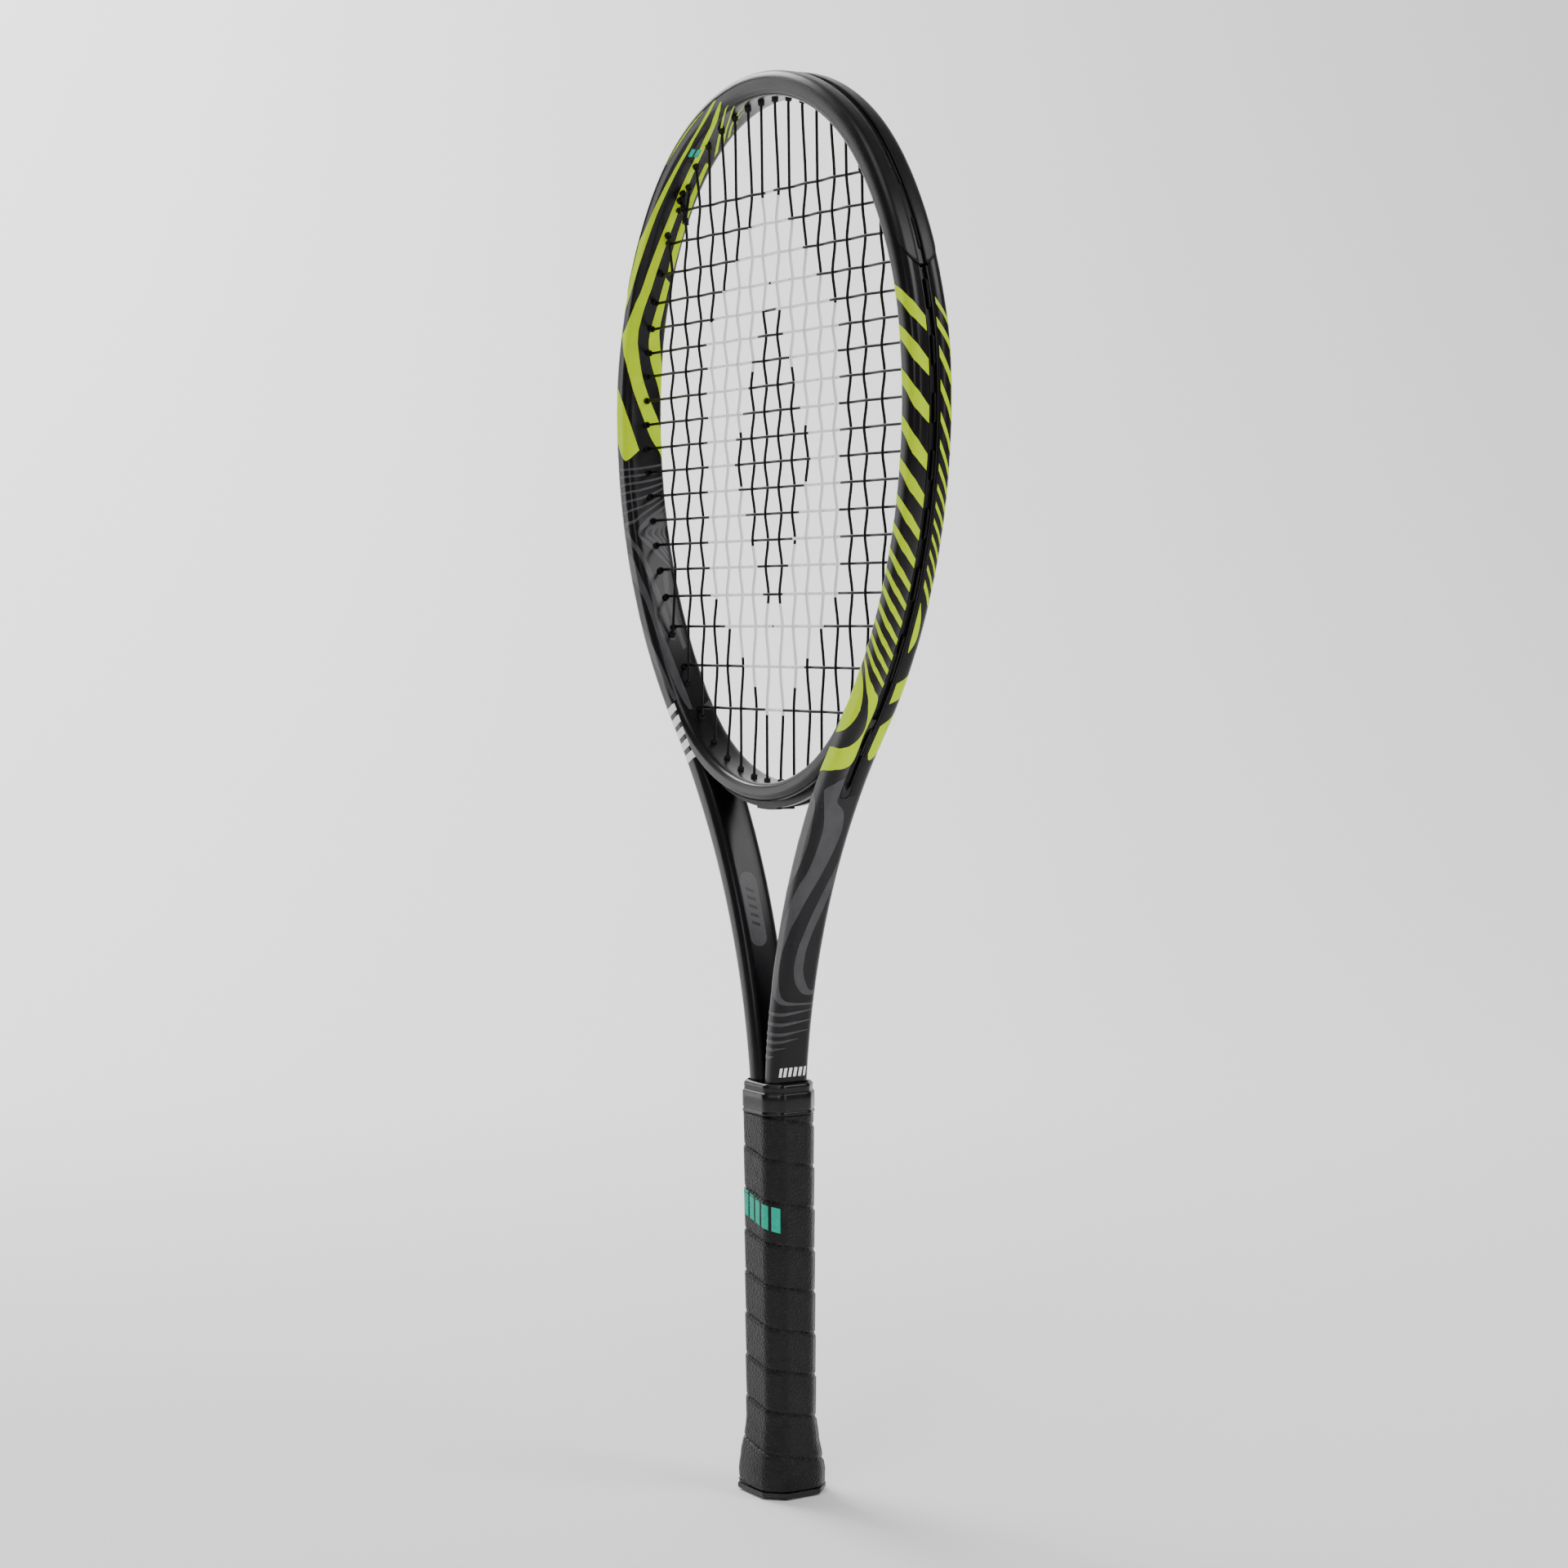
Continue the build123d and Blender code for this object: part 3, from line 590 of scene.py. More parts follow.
def head_arcs():
    """The arcs round the inside of the head, with the highest and lowest angle of each."""
    side = ARCS[1][0]
    yoke = (0.0, BRIDGE_CENTRE, BRIDGE_INNER + TUBE / 2)
    meet = degrees(acos(-side[0] / (side[2] - TUBE / 2 - BRIDGE_INNER)))
    return ((yoke, 90.0, meet), (side, meet, SIDE_ANGLE),
            (ARCS[2][0], SIDE_ANGLE, SHOULDER_ANGLE), (ARCS[3][0], SHOULDER_ANGLE, TIP_ANGLE))


HEAD_ARCS = head_arcs()
YOKE = HEAD_ARCS[0][0]


def meets(origin, direction, arc, out):
    """Where a line from inside the head meets an arc moved outward."""
    dx = origin[0] - arc[0]
    dz = origin[1] - arc[1]
    ahead = dx * direction[0] + dz * direction[1]
    root = sqrt(ahead**2 - dx**2 - dz**2 + (arc[2] + out)**2)
    travel = root - ahead if arc[2] > 0 else -ahead - root
    return origin[0] + travel * direction[0], origin[1] + travel * direction[1]


def hole_at(phi, arc, line, row):
    """(mouth, out, row) of a grommet hole: where its string bends in, and where it reaches the groove."""
    start = arc_point(arc, phi, -TUBE / 2 - MOUTH)
    aim = (HOLE_TURN * cos(radians(phi)) + line[0], -HOLE_TURN * sin(radians(phi)) + line[1])
    size = hypot(*aim)
    aim = (aim[0] / size, aim[1] / size)
    depth = TUBE / 2 - LOOP_DEPTH
    if arc is YOKE:
        if phi < degrees(acos(MAIN_X[3] / BRIDGE_INNER)) - 3:
            arc = ARCS[0][0]
        else:
            depth = BRIDGE_DEPTH - TUBE / 2 + 3.0 - LOOP_DEPTH
    return start, meets(start, aim, arc, depth), row


def main_hole(x, upper, row=-ROW, turn=0.0):
    """The hole of the main at x, or one that lies turn further along."""
    for arc, high, low in HEAD_ARCS:
        phi = degrees(acos(min((x - arc[0]) / (arc[2] - TUBE / 2 - MOUTH), 1.0)))
        phi = -phi if upper else phi
        if low <= phi <= high:
            return hole_at(phi + degrees(turn / (arc[2] - TUBE / 2)), arc, (0, 1 if upper else -1), row)


def cross_hole(z):
    for arc, high, low in HEAD_ARCS:
        reach = (arc[1] - z) / (arc[2] - TUBE / 2 - MOUTH)
        if abs(reach) < 1 and low <= degrees(asin(reach)) <= high:
            return hole_at(degrees(asin(reach)), arc, (1, 0), ROW)


def flipped(hole, side=-1):
    """The same hole on that side of the racket."""
    (mx, mz), (ox, oz), row = hole
    return (side * mx, mz), (side * ox, oz), row


def down_hole(hole, share):
    """A point inside a hole, at a share of the way from its outer end to its mouth."""
    (mx, mz), (ox, oz), row = hole
    return between(ox, mx, share), row, between(oz, mz, share)


TOP_HOLES = [main_hole(x, True) for x in MAIN_X]
BOTTOM_HOLES = [main_hole(x, False) for x in MAIN_X]
CROSS_HOLES = [cross_hole(z) for z in CROSS_Z]
MAIN_TIE = main_hole(MAIN_X[6], True, -ROW, TIE_SPACING)
START_TIE = flipped(main_hole(MAIN_X[6], True, ROW, -TIE_SPACING))
END_TIE = main_hole(MAIN_X[5], False, ROW, TIE_SPACING)


def rounded(points, radii, steps=5):
    """The points with each inner corner replaced by a short curve."""
    points = [Vector(point) for point in points]
    path = [points[0]]
    for before, corner, after, reach in zip(points, points[1:], points[2:], radii):
        start = corner + (before - corner).normalized() * reach
        end = corner + (after - corner).normalized() * reach
        for step in range(steps + 1):
            t = step / steps
            path.append(start * (1 - t)**2 + corner * 2 * t * (1 - t) + end * t**2)
    return path + [points[-1]]


def run_path(low_hole, high_hole, crossings, upright):
    """From inside one hole, across the head past its crossings, into the other. A point is (along, y)."""
    ends = []
    keys = []
    for hole in (low_hole, high_hole):
        (x, z), _, row = hole
        fixed, start = (x, z) if upright else (z, x)
        ends.append((down_hole(hole, 0.3), (x, row, z)))
        keys.append((start, row))
    low, high = keys[0][0] + MOUTH_LEAD, keys[1][0] - MOUTH_LEAD
    keys[1:1] = crossings
    path = []
    steps = 8
    for (a, ya), (b, yb) in zip(keys, keys[1:]):
        for step in range(steps):
            share = step / steps
            bend = between(0.5 - 0.5 * cos(pi * share), share, 0.35)
            path.append((between(a, b, share), between(ya, yb, bend)))
    middle = [(a, y) for a, y in path if low < a < high]
    points = [(fixed, y, a) if upright else (a, y, fixed) for a, y in middle]
    start = rounded([*ends[0], points[0]], (MOUTH_BEND,))
    end = rounded([points[-1], *reversed(ends[1])], (MOUTH_BEND,))
    return start[:-1] + [Vector(point) for point in points] + end[1:]


def weaves(x, z, main, cross):
    """Whether a crossing is far enough from the frame for the strings to pass over and under."""
    bottom, top = BOTTOM_HOLES[main][0][1], TOP_HOLES[main][0][1]
    return min(z - bottom, top - z, CROSS_HOLES[cross][0][0] - abs(x)) > NEAREST_CROSSING


def string_runs():
    """The mains' and the crosses' runs, each as a list of paths."""
    mains = []
    crosses = []
    signed = [-x for x in reversed(MAIN_X)] + list(MAIN_X)
    for index, x in enumerate(signed):
        main = MAIN_X.index(abs(x))
        passing = []
        for cross, z in enumerate(CROSS_Z):
            if weaves(x, z, main, cross):
                passing.append((z, WEAVE * (-1)**(index + cross)))
        side = -1 if x < 0 else 1
        low_hole, high_hole = flipped(BOTTOM_HOLES[main], side), flipped(TOP_HOLES[main], side)
        mains.append(run_path(low_hole, high_hole, sorted(passing), True))
    for cross, z in enumerate(CROSS_Z):
        passing = []
        for index, x in enumerate(signed):
            if weaves(x, z, MAIN_X.index(abs(x)), cross):
                passing.append((x, -WEAVE * (-1)**(index + cross)))
        hole = CROSS_HOLES[cross]
        crosses.append(run_path(flipped(hole), hole, sorted(passing), False))
    return mains, crosses


def loop_path(first, second, side=1):
    """Along the groove between two holes, with both ends a little way down them."""
    stops = ((first, 0.45), (first, 0), (second, 0), (second, 0.45))
    points = [down_hole(flipped(hole, side), share) for hole, share in stops]
    return rounded(points, (GROOVE_BEND, GROOVE_BEND))


def knot(shape, x, y, z, turns=3):
    """A half hitch: a few close turns of string round the main it is tied to."""
    steps = 12 * turns
    path = []
    for step in range(steps + 1):
        turn = 2 * pi * step / 12
        rise = (step / steps - 0.5) * turns * 2 * STRING_RADIUS * 0.9
        path.append((x + KNOT_TURN * cos(turn), y + KNOT_TURN * sin(turn), z + rise))
    shape.tube(path, STRING_RADIUS * 0.92, 10)


def tie_path(first, tie, knot_at):
    """Along the groove from a hole, in through the hole beside it, and on to the knot."""
    stops = ((first, 0.45), (first, 0), (tie, 0), (tie, 1))
    points = [down_hole(hole, share) for hole, share in stops]
    return rounded(points + [knot_at], (GROOVE_BEND, GROOVE_BEND, 1.2))


def build_strings():
    mains, crosses = string_runs()
    shape = Shape()
    for path in mains:
        shape.tube(path, STRING_RADIUS)
    for side in (1, -1):
        for holes, firsts in ((TOP_HOLES, (1, 3, 5)), (BOTTOM_HOLES, (0, 2, 4, 6))):
            for first in firsts:
                shape.tube(loop_path(holes[first], holes[first + 1], side), STRING_RADIUS)
        knot_at = (side * MAIN_X[6], -ROW, TOP_HOLES[6][0][1] - 6.5)
        shape.tube(tie_path(flipped(TOP_HOLES[7], side), flipped(MAIN_TIE, side), knot_at), STRING_RADIUS)
        knot(shape, *knot_at)
    shape.tube(loop_path(flipped(TOP_HOLES[0]), TOP_HOLES[0]), STRING_RADIUS)
    shape.piece("mains", STRING, ("main_string",), sharp=70)
    shape = Shape()
    for path in crosses:
        shape.tube(path, STRING_RADIUS)
    for upper in range(len(CROSS_Z) - 1):
        side = -1 if upper % 2 else 1
        shape.tube(loop_path(CROSS_HOLES[upper], CROSS_HOLES[upper + 1], side), STRING_RADIUS)
    start_knot = (-MAIN_X[6], 0.0, TOP_HOLES[6][0][1] - 12.0)
    end_knot = (MAIN_X[5], 0.0, BOTTOM_HOLES[5][0][1] + 6.5)
    shape.tube(tie_path(flipped(CROSS_HOLES[0]), START_TIE, start_knot), STRING_RADIUS)
    shape.tube(tie_path(CROSS_HOLES[-1], END_TIE, end_knot), STRING_RADIUS)
    knot(shape, *start_knot)
    knot(shape, *end_knot)
    shape.piece("crosses", STRING, ("cross_string",), sharp=70)
    build_stencil(mains + crosses)


STENCIL_CENTRE = 503.0
STENCIL_HALF_WIDTH = 60.0
INK_RISE = 0.04


def in_stencil(x, z):
    """A generic mark: a tall lozenge with blunt sides and a lozenge left open inside it."""
    rise = abs(z - STENCIL_CENTRE)
    outer = max(rise / 132.0 + abs(x) / 115.0, abs(x) / STENCIL_HALF_WIDTH)
    inner = rise / 84.0 + abs(x) / 36.0
    return outer < 1 < inner


def build_stencil(paths):
    """Ink on the strings: thin sleeves along the stretches inside the mark."""
    shape = Shape()
    for path in paths:
        fine = []
        for a, b in zip(path, path[1:]):
            count = max(int((b - a).length / 0.5), 1)
            fine += [a.lerp(b, i / count) for i in range(count)]
        stretch = []
        for point in fine:
            if in_stencil(point.x, point.z):
                stretch.append(point)
            else:
                if len(stretch) > 4:
                    shape.tube(stretch[::2], STRING_RADIUS + INK_RISE, 10)
                stretch = []
    shape.piece("string_stencil", WHITE, sharp=70)


# (distance along the barrel, radius)
GROMMET_PROFILE = ((0.6, 0.95), (0.35, 1.3), (0.5, 1.5), (0.85, 1.62), (2.0, 1.68), (3.2, 1.95),
                   (5.0, 2.0), (5.0, 0.75), (0.9, 0.75))


def build_grommets():
    """A collared barrel at each hole's inner end."""
    side_holes = TOP_HOLES + BOTTOM_HOLES[4:] + CROSS_HOLES + [MAIN_TIE]
    groups = (
        ("grommets_right", side_holes + [END_TIE]),
        ("grommets_left", [flipped(hole) for hole in side_holes] + [START_TIE]),
        ("grommets_throat", BOTTOM_HOLES[:4] + [flipped(hole) for hole in BOTTOM_HOLES[:4]]),
    )
    for name, holes in groups:
        shape = Shape()
        for (mx, mz), (ox, oz), row in holes:
            shape.turned((mx, row, mz), (ox - mx, 0, oz - mz), GROMMET_PROFILE)
        shape.piece(name, NYLON, sharp=50)


# ---- Paint ----
# A shape is painted on both turns of the racket: it has the same look when turned half round its length.

PAINT_RISE = 0.06
PAINT_SINK = 0.08


def band(shape, edge_a, edge_b, side=1, length=40, smooth=True, spot=surface):
    """A thin raised patch between two edges that are given as (s, q) points."""
    if smooth:
        edge_a = along_curve(edge_a, length)
        edge_b = along_curve(edge_b, length)
    else:
        edge_a = stepped(edge_a, length)
        edge_b = stepped(edge_b, length)
    reach = max(abs(a[1] - b[1]) for a, b in zip(edge_a, edge_b))
    width = max(2, int(reach / 0.1) + 1)
    for turn in (1, -1):
        top = []
        for (sa, qa), (sb, qb) in zip(edge_a, edge_b):
            shares = [j / width for j in range(width + 1)]
            cells = [(between(sa, sb, share), between(qa, qb, share)) for share in shares]
            top.append([spot(side * turn, s, q * turn, PAINT_RISE) for s, q in cells]
                       + [spot(side * turn, s, q * turn, -PAINT_SINK) for s, q in reversed(cells)])
        shape.bar(top)


def stepped(points, count):
    last = len(points) - 1
    result = []
    for step in range(count):
        at = step / (count - 1) * last
        i = min(int(at), last - 1)
        result.append(tuple(between(a, b, at - i) for a, b in zip(points[i], points[i + 1])))
    return result


STRIPE_TOPS = (431.7, 413, 392.8, 372, 352.5, 335.8, 322.8, 311, 301.7, 293.6, 285, 277, 269.5, 262.5, 256)
BACK_STRIPE_TOPS = (422, 413, 400.6, 386, 372, 360, 349.7, 340.8, 333, 325.6, 318.6, 311.7, 304.7, 297.8, 288)
GROOVE_Q = 3.735

# Bands of paint on the right and left sides: (steps, one edge, the other edge), an edge as (s, q) points.
LIME_RIGHT = (
    # the band that turns back on itself beside the groove, and the leaf inside it
    (90, ((257, 1.3), (252.5, 2.2), (247.5, 3.0), (243, 3.4), (237, GROOVE_Q), (219, GROOVE_Q),
      (201, GROOVE_Q), (196.5, 3.0), (192.5, 2.0), (188.3, 1.08)),
     ((256, 1.32), (249.5, 2.2), (242, 3.0), (234, 3.38), (226, 3.6), (219, 3.64), (213.5, 3.45),
      (209, 2.9), (206, 2.0), (202.3, 1.08))),
    (40, ((252.6, 1.08), (248.5, 1.75), (243, 2.5), (237, 2.88), (231.7, 3.03)),
     ((210.9, 1.08), (214, 1.75), (220, 2.5), (226.5, 2.92), (231.5, 3.02))),
    # the back half of the outer wall
    (40, ((287, 4.4), (277, 4.39), (268, 4.39), (262.5, 4.42)),
     ((286.7, 4.42), (278, 4.62), (269, 4.66), (262.7, 4.46))),
    (40, ((246.5, 4.36), (251.5, 5.0)), ((235.5, 4.36), (239.5, 5.0))),
    (40, ((223, 4.36), (227, 4.7), (231, 5.0)), ((206, 4.36), (202.5, 4.56), (208.5, 5.0))),
)

LIME_LEFT = (
    # a long arrow round the inner wall, pointing out on the front face
    (90, ((578, 1.78), (572, 0.98), (553.7, 0.385), (528.7, 0.036), (494.5, -0.09), (457.6, 0.185),
      (447, 0.34), (441.8, 0.435), (436, 0.51), (430, 0.584)),
     ((576.8, 1.88), (565.5, 0.98), (548, 0.53), (528.7, 0.31), (494.5, 0.285), (457.6, 0.68),
      (444.5, 0.98), (436.6, 1.38), (430, 1.88), (426, 2.33))),
    (70, ((429.97, 0.584), (424, 0.56), (420.8, 0.51), (406, 0.185), (394.5, -0.21), (385, -0.61),
      (376, -1.05)),
     ((425.97, 2.33), (418, 1.88), (410, 1.1), (398, 0.63), (384, 0.1), (372, -0.36), (362, -1.05))),
    # the wide band that crosses from the inner wall to the outer corner, and a shorter one below it
    (90, ((573.4, 2.28), (561.6, 1.46), (544.5, 1.0), (528.7, 0.9), (505, 0.93), (480, 1.16), (464, 1.45),
      (448.4, 1.92), (439, 2.4), (433, 3.0)),
     ((571, 2.35), (555, 1.53), (540, 1.2), (528, 1.14), (516, 1.2), (503, 1.4), (493, 1.65), (482, 2.0),
      (475, 2.4), (469.5, 3.0))),
    (50, ((366.8, 0.335), (376, 0.63), (385, 0.98), (390.5, 1.38), (394.5, 1.88), (398.4, 2.38),
      (400, 3.1)),
     ((366.6, 0.34), (364, 0.63), (361.6, 0.98), (361.5, 1.38), (365, 1.95), (370.8, 2.38), (373.4, 3.1))),
    # the short arrow on the back half of the inner wall
    (40, ((529, -0.56), (510, -0.69), (494.5, -0.76), (473.4, -0.79), (460.8, -0.75)),
     ((530, -0.36), (515.5, -0.41), (494.5, -0.44), (472, -0.42), (460.8, -0.46))),
    (50, ((456, -0.69), (441.8, -0.61), (431, -0.54), (424.7, -0.61), (415.5, -0.81), (407, -1.05)),
     ((459, -0.39), (444.5, -0.26), (428, -0.04), (419.5, -0.09), (409, -0.36), (391, -1.05))),
    # a thin curl near the outer corner
    (40, ((561, 2.3), (541.8, 2.23), (528.7, 2.28), (515.5, 2.53), (509, 3.05)),
     ((560, 2.36), (544, 2.42), (534, 2.5), (523, 2.7), (518, 3.05))),
)

GREY_RIGHT = (
    # two long waves up the arm, and a leaf
    (130, ((183.7, 2.69), (179, 2.99), (172, 3.24), (165.4, 3.42), (157.7, 3.47), (146, 3.39),
      (135.6, 3.14), (126, 2.64), (117, 2.2), (107.7, 1.85), (96, 1.6), (84.6, 1.4), (75, 1.5), (71.5, 2.0),
      (68.8, 2.74), (67.8, 3.74), (67.6, 4.9)),
     ((193, 3.72), (186, 3.73), (178, 3.74), (172.5, 4.2), (162, 4.42), (150, 4.31), (136.5, 3.99),
      (125, 3.59), (113.5, 3.19), (102, 2.74), (93.5, 2.42), (86.5, 2.32), (79.8, 2.49), (74, 2.79),
      (70.3, 3.24), (69, 3.9), (68.6, 4.9))),
    (90, ((145, 4.75), (134.6, 4.49), (123, 4.19), (111.5, 3.89), (98, 3.59), (88.5, 3.52), (80.8, 3.64),
      (75, 3.99), (72.8, 4.39), (73.2, 4.95)),
     ((131, 4.78), (117.3, 4.49), (107.7, 4.24), (98, 4.04), (91, 4.0), (86, 4.02), (81, 4.16),
      (76.6, 4.39), (75, 4.6), (74.4, 4.95))),
    (40, ((176, 1.0), (177.5, 1.75), (172, 2.35), (163.5, 2.64), (154.8, 2.77)),
     ((122, 1.0), (127.5, 1.75), (139.4, 2.44), (148, 2.69), (154.6, 2.77))),
)

GREY_LEFT = (
    # a rule that runs on under the others
    (40, ((341.5, -0.86), (333.5, 0.36), (329.8, 0.9), (329.5, 1.6), (330, 3.0)),
     ((340.5, -0.86), (332, 0.36), (328.2, 0.9), (327.4, 1.6), (323.5, 3.0))),
    # long waves down the inner wall, and the panels above the yoke
    (70, ((325, 3.0), (325.5, 2.0), (319.5, 1.38), (315, 0.88), (307, 0.53), (297, 0.31), (283, 0.08),
      (262, -0.04)),
     ((321.5, 3.0), (321.5, 2.0), (316, 1.5), (311, 0.98), (301, 0.68), (290, 0.48), (278, 0.32),
      (262, 0.2))),
    (80, ((316, 3.0), (313, 2.1), (308.7, 1.63), (300, 1.13), (290, 0.83), (277, 0.63), (262, 0.46),
      (244.6, 0.335), (230, 0.27), (214, 0.3)),
     ((298, 3.0), (299, 2.3), (294.6, 1.78), (288, 1.28), (281.5, 1.03), (270.7, 0.91), (253, 0.83),
      (238, 0.76), (226, 0.64), (214.5, 0.34))),
    (70, ((285, 3.0), (274, 2.2), (264, 1.75), (255, 1.4), (245, 1.15), (233.7, 1.0), (218.5, 0.84)),
     ((266, 3.0), (258, 2.4), (250, 2.05), (241, 1.75), (235, 1.5), (228, 1.28), (216, 0.98))),
    (40, ((300, -0.45), (286, -0.3), (272, -0.42), (258, -0.5)),
     ((303, -0.2), (289, -0.1), (270, -0.2), (256, -0.3))),
    (40, ((226, -0.85), (221, -0.3), (217, 0.2), (213.5, 0.62)),
     ((209, -0.85), (209.5, -0.3), (210.5, 0.2), (211.5, 0.6))),
    (40, ((205, -0.85), (207, -0.2), (209, 0.5), (213, 1.0), (215, 1.5)),
     ((190, -0.85), (190, -0.2), (194.5, 0.5), (199, 1.0), (204, 1.5))),
)


def paint(shape, bands, side):
    for length, edge_a, edge_b in bands:
        band(shape, edge_a, edge_b, side, length)


def shifted(edge, fall):
    """The same edge, lower by fall."""
    return [(s - fall, q) for s, q in edge]


def build_lime():
    shape = Shape()
    # right side: slanting stripes that thin out down the head, on both halves of the wall
    for top, after in zip(STRIPE_TOPS, STRIPE_TOPS[1:]):
        wide = 0.42 * (top - after)
        slant = 6.0 + 3.0 * smoothstep(340, 372, top)
        upper = [(top, 1.08), (top - 0.4 * slant, 1.9), (top - slant - 1.0, 3.0),
                 (top - slant - 9.5, GROOVE_Q)]
        lower = [(s - wide * grow, q) for (s, q), grow in zip(upper, (0.75, 0.85, 1.05, 0.85))]
        band(shape, upper, lower, length=30)
    for index, (top, after) in enumerate(zip(BACK_STRIPE_TOPS, BACK_STRIPE_TOPS[1:])):
        start = 4.33 if index == 0 else between(4.26, 4.38, index / 13)
        fall = 8.5 + 3.5 * smoothstep(330, 372, top) - 4 * smoothstep(392, 422, top)
        upper = [(top, start), (top - fall, 4.8), (top - fall - 3.0, 5.1)]
        band(shape, upper, shifted(upper, 0.34 * (top - after)), length=14, smooth=False)
    paint(shape, LIME_RIGHT, 1)
    paint(shape, LIME_LEFT, -1)
    # thin lines that fan over the top of the head
    for lift, reach, wide in ((0, 1.1, 4.2), (7.5, 0.83, 3.4), (14, 0.4, 2.8), (20, 0.0, 2.4)):
        upper = [(539 + lift, -0.6), (552 + lift, -0.15), (568 + 0.75 * lift, 0.4 * reach),
                 (582.6 + 0.4 * lift, reach)]
        lower = [(s - wide * (1 - 0.22 * i), q) for i, (s, q) in enumerate(upper)]
        band(shape, upper, lower, side=-1)
    shape.piece("lime_stripes", LIME)


def build_grey():
    shape = Shape()
    paint(shape, GREY_RIGHT, 1)
    # short rules at the foot of the right arm
    for s, reach in ((62, 4.95), (56.8, 4.9), (51.7, 4.7), (47.8, 4.15), (44, 3.5), (40, 2.65)):
        rise = 3.0 * (reach - 1.1) / 3.8
        middle = between(1.1, reach, 0.55)
        upper = [(s + 0.8, 1.1), (s + 0.8 + rise * 0.4, middle), (s + 0.5 + rise, reach)]
        lower = [(s - 0.8, 1.1), (s - 0.8 + rise * 0.4, middle), (s + 0.2 + rise, reach)]
        band(shape, upper, lower)
    # left side: thin rules under the lime
    for left, middle, right in ((359.3, 356.5, 357.6), (355.9, 352.8, 353.5), (352.6, 348.9, 349),
                                (349.7, 344.6, 344.8), (346.8, 340, 340), (343.9, 335, 334.3)):
        inner = between(left, middle, 0.6) + 0.6
        upper = [(left + 0.55, -0.86), (inner, 0.0), (middle + 0.6, 1.0), (right + 0.6, 3.0)]
        band(shape, upper, shifted(upper, 1.2), side=-1, length=50)
    # nested arrowheads on the inner wall
    for tip, thick in ((0.81, 1.9), (0.42, 1.7), (0.08, 1.6), (-0.24, 1.6), (-0.52, 1.6)):
        back = min(tip + 0.86, 1.4)
        draw = 0.81 - tip
        upper = [(338 - 7 * draw, -0.86), (330 - 2 * draw, tip - 0.4 * back), (322, tip),
                 (314 + 3 * draw, tip - 0.4 * back), (300 + 8 * draw, -0.86)]
        lower = [(338 - thick - 7 * draw, -0.86), (329 - thick - 2 * draw, tip - 0.48 * back),
                 (322, tip - 0.13), (314.5 + thick + 3 * draw, tip - 0.48 * back),
                 (300 + thick + 8 * draw, -0.86)]
        band(shape, upper, lower, side=-1, length=50)
    paint(shape, GREY_LEFT, -1)
    shape.piece("grey_waves", GREY)


def lifted(side, s, q, off):
    """A point that clears paint already there."""
    return surface(side, s, q, off + PAINT_RISE)


def bars(shape, edges, length, side=-1, spot=lifted):
    """Patches whose edges run straight from point to point."""
    for edge_a, edge_b in edges:
        band(shape, edge_a, edge_b, side, length, False, spot)


def build_badge():
    """A pill with ticks on it, in place of a badge on the inner face of the left arm."""
    low, high = -0.26, 0.6
    middle, half = 110, 18.5
    corner = 4.6
    steps = 40
    edge_a = []
    edge_b = []
    for step in range(steps + 1):
        s = middle + half * sin(-pi / 2 + pi * step / steps)
        into = min(middle + half - s, s - middle + half) / corner
        pull = 1 - sqrt(max(1 - (1 - into)**2, 0)) if into < 1 else 0.0
        squeeze = min(pull * corner / (BEAM / 2), (high - low) / 2 * 0.98)
        edge_a.append((s, low + squeeze))
        edge_b.append((s, high - squeeze))
    shape = Shape()
    bars(shape, [(edge_a, edge_b)], steps + 1, spot=surface)
    shape.piece("arm_badge", GREY)
    shape = Shape()
    starts = [101 + 4.2 * index for index in range(5)]
    bars(shape, [([(s, -0.02), (s + 1.6, 0.36)], [(s + 1.5, -0.02), (s + 3.1, 0.36)]) for s in starts], 6)
    shape.piece("badge_ticks", PAINT)


def build_marks():
    """Generic marks: rows of bars in place of any lettering."""
    shape = Shape()
    starts = [3.2 + 0.27 * index for index in range(6)]
    feet = [([(31.5, q), (31.5, q + 0.16)], [(36, q + 0.06), (36, q + 0.22)]) for q in starts]
    bars(shape, feet, 5, 1, surface)
    starts = [192 + 7.2 * index for index in range(5)]
    bars(shape, [([(s, 1.05), (s + 1.2, 2.9)], [(s + 4.2, 1.05), (s + 5.4, 2.9)]) for s in starts], 14)
    shape.piece("white_marks", WHITE)
    shape = Shape()
    starts = [0.22 + 0.32 * index for index in range(2)]
    heads = [([(533.5, q), (533.5, q + 0.22)], [(539.5, q + 0.05), (539.5, q + 0.27)]) for q in starts]
    bars(shape, heads, 6)
    shape.piece("teal_marks", TEAL)


# ---- Handle ----

PALLET_X = 29.3
PALLET_Y = 25.0
PALLET_BEVEL = 5.4
GRIP_THICKNESS = 2.0
GRIP_BOTTOM = 3.0
GRIP_TOP = 185.4
# (height, how far the heel stands out)
BUTT_LEVELS = ((0.0, 3.9), (3.0, 4.0), (10.0, 4.1), (18.0, 2.9), (26.0, 1.3), (36.0, 0.0), (190.0, 0.0))
WRAP_PITCH = 20.5
GRIP_ROUNDING = 6.5


def flare(z):
    for (za, a), (zb, b) in zip(BUTT_LEVELS, BUTT_LEVELS[1:]):
        if z <= zb:
            share = (z - za) / (zb - za)
            return between(a, b, smoothstep(0, 1, share) * 0.5 + share * 0.5)
    return 0.0


def ray_exit(turn, rounding, past):
    """Where a ray at this angle is as far past a sharp outline as its rounding."""
    low, high = 0.0, 60.0
    for _ in range(26):
        reach = (low + high) / 2
        if past(abs(reach * cos(turn)), abs(reach * sin(turn))) > rounding:
            high = reach
        else:
            low = reach
    return reach * cos(turn), reach * sin(turn)


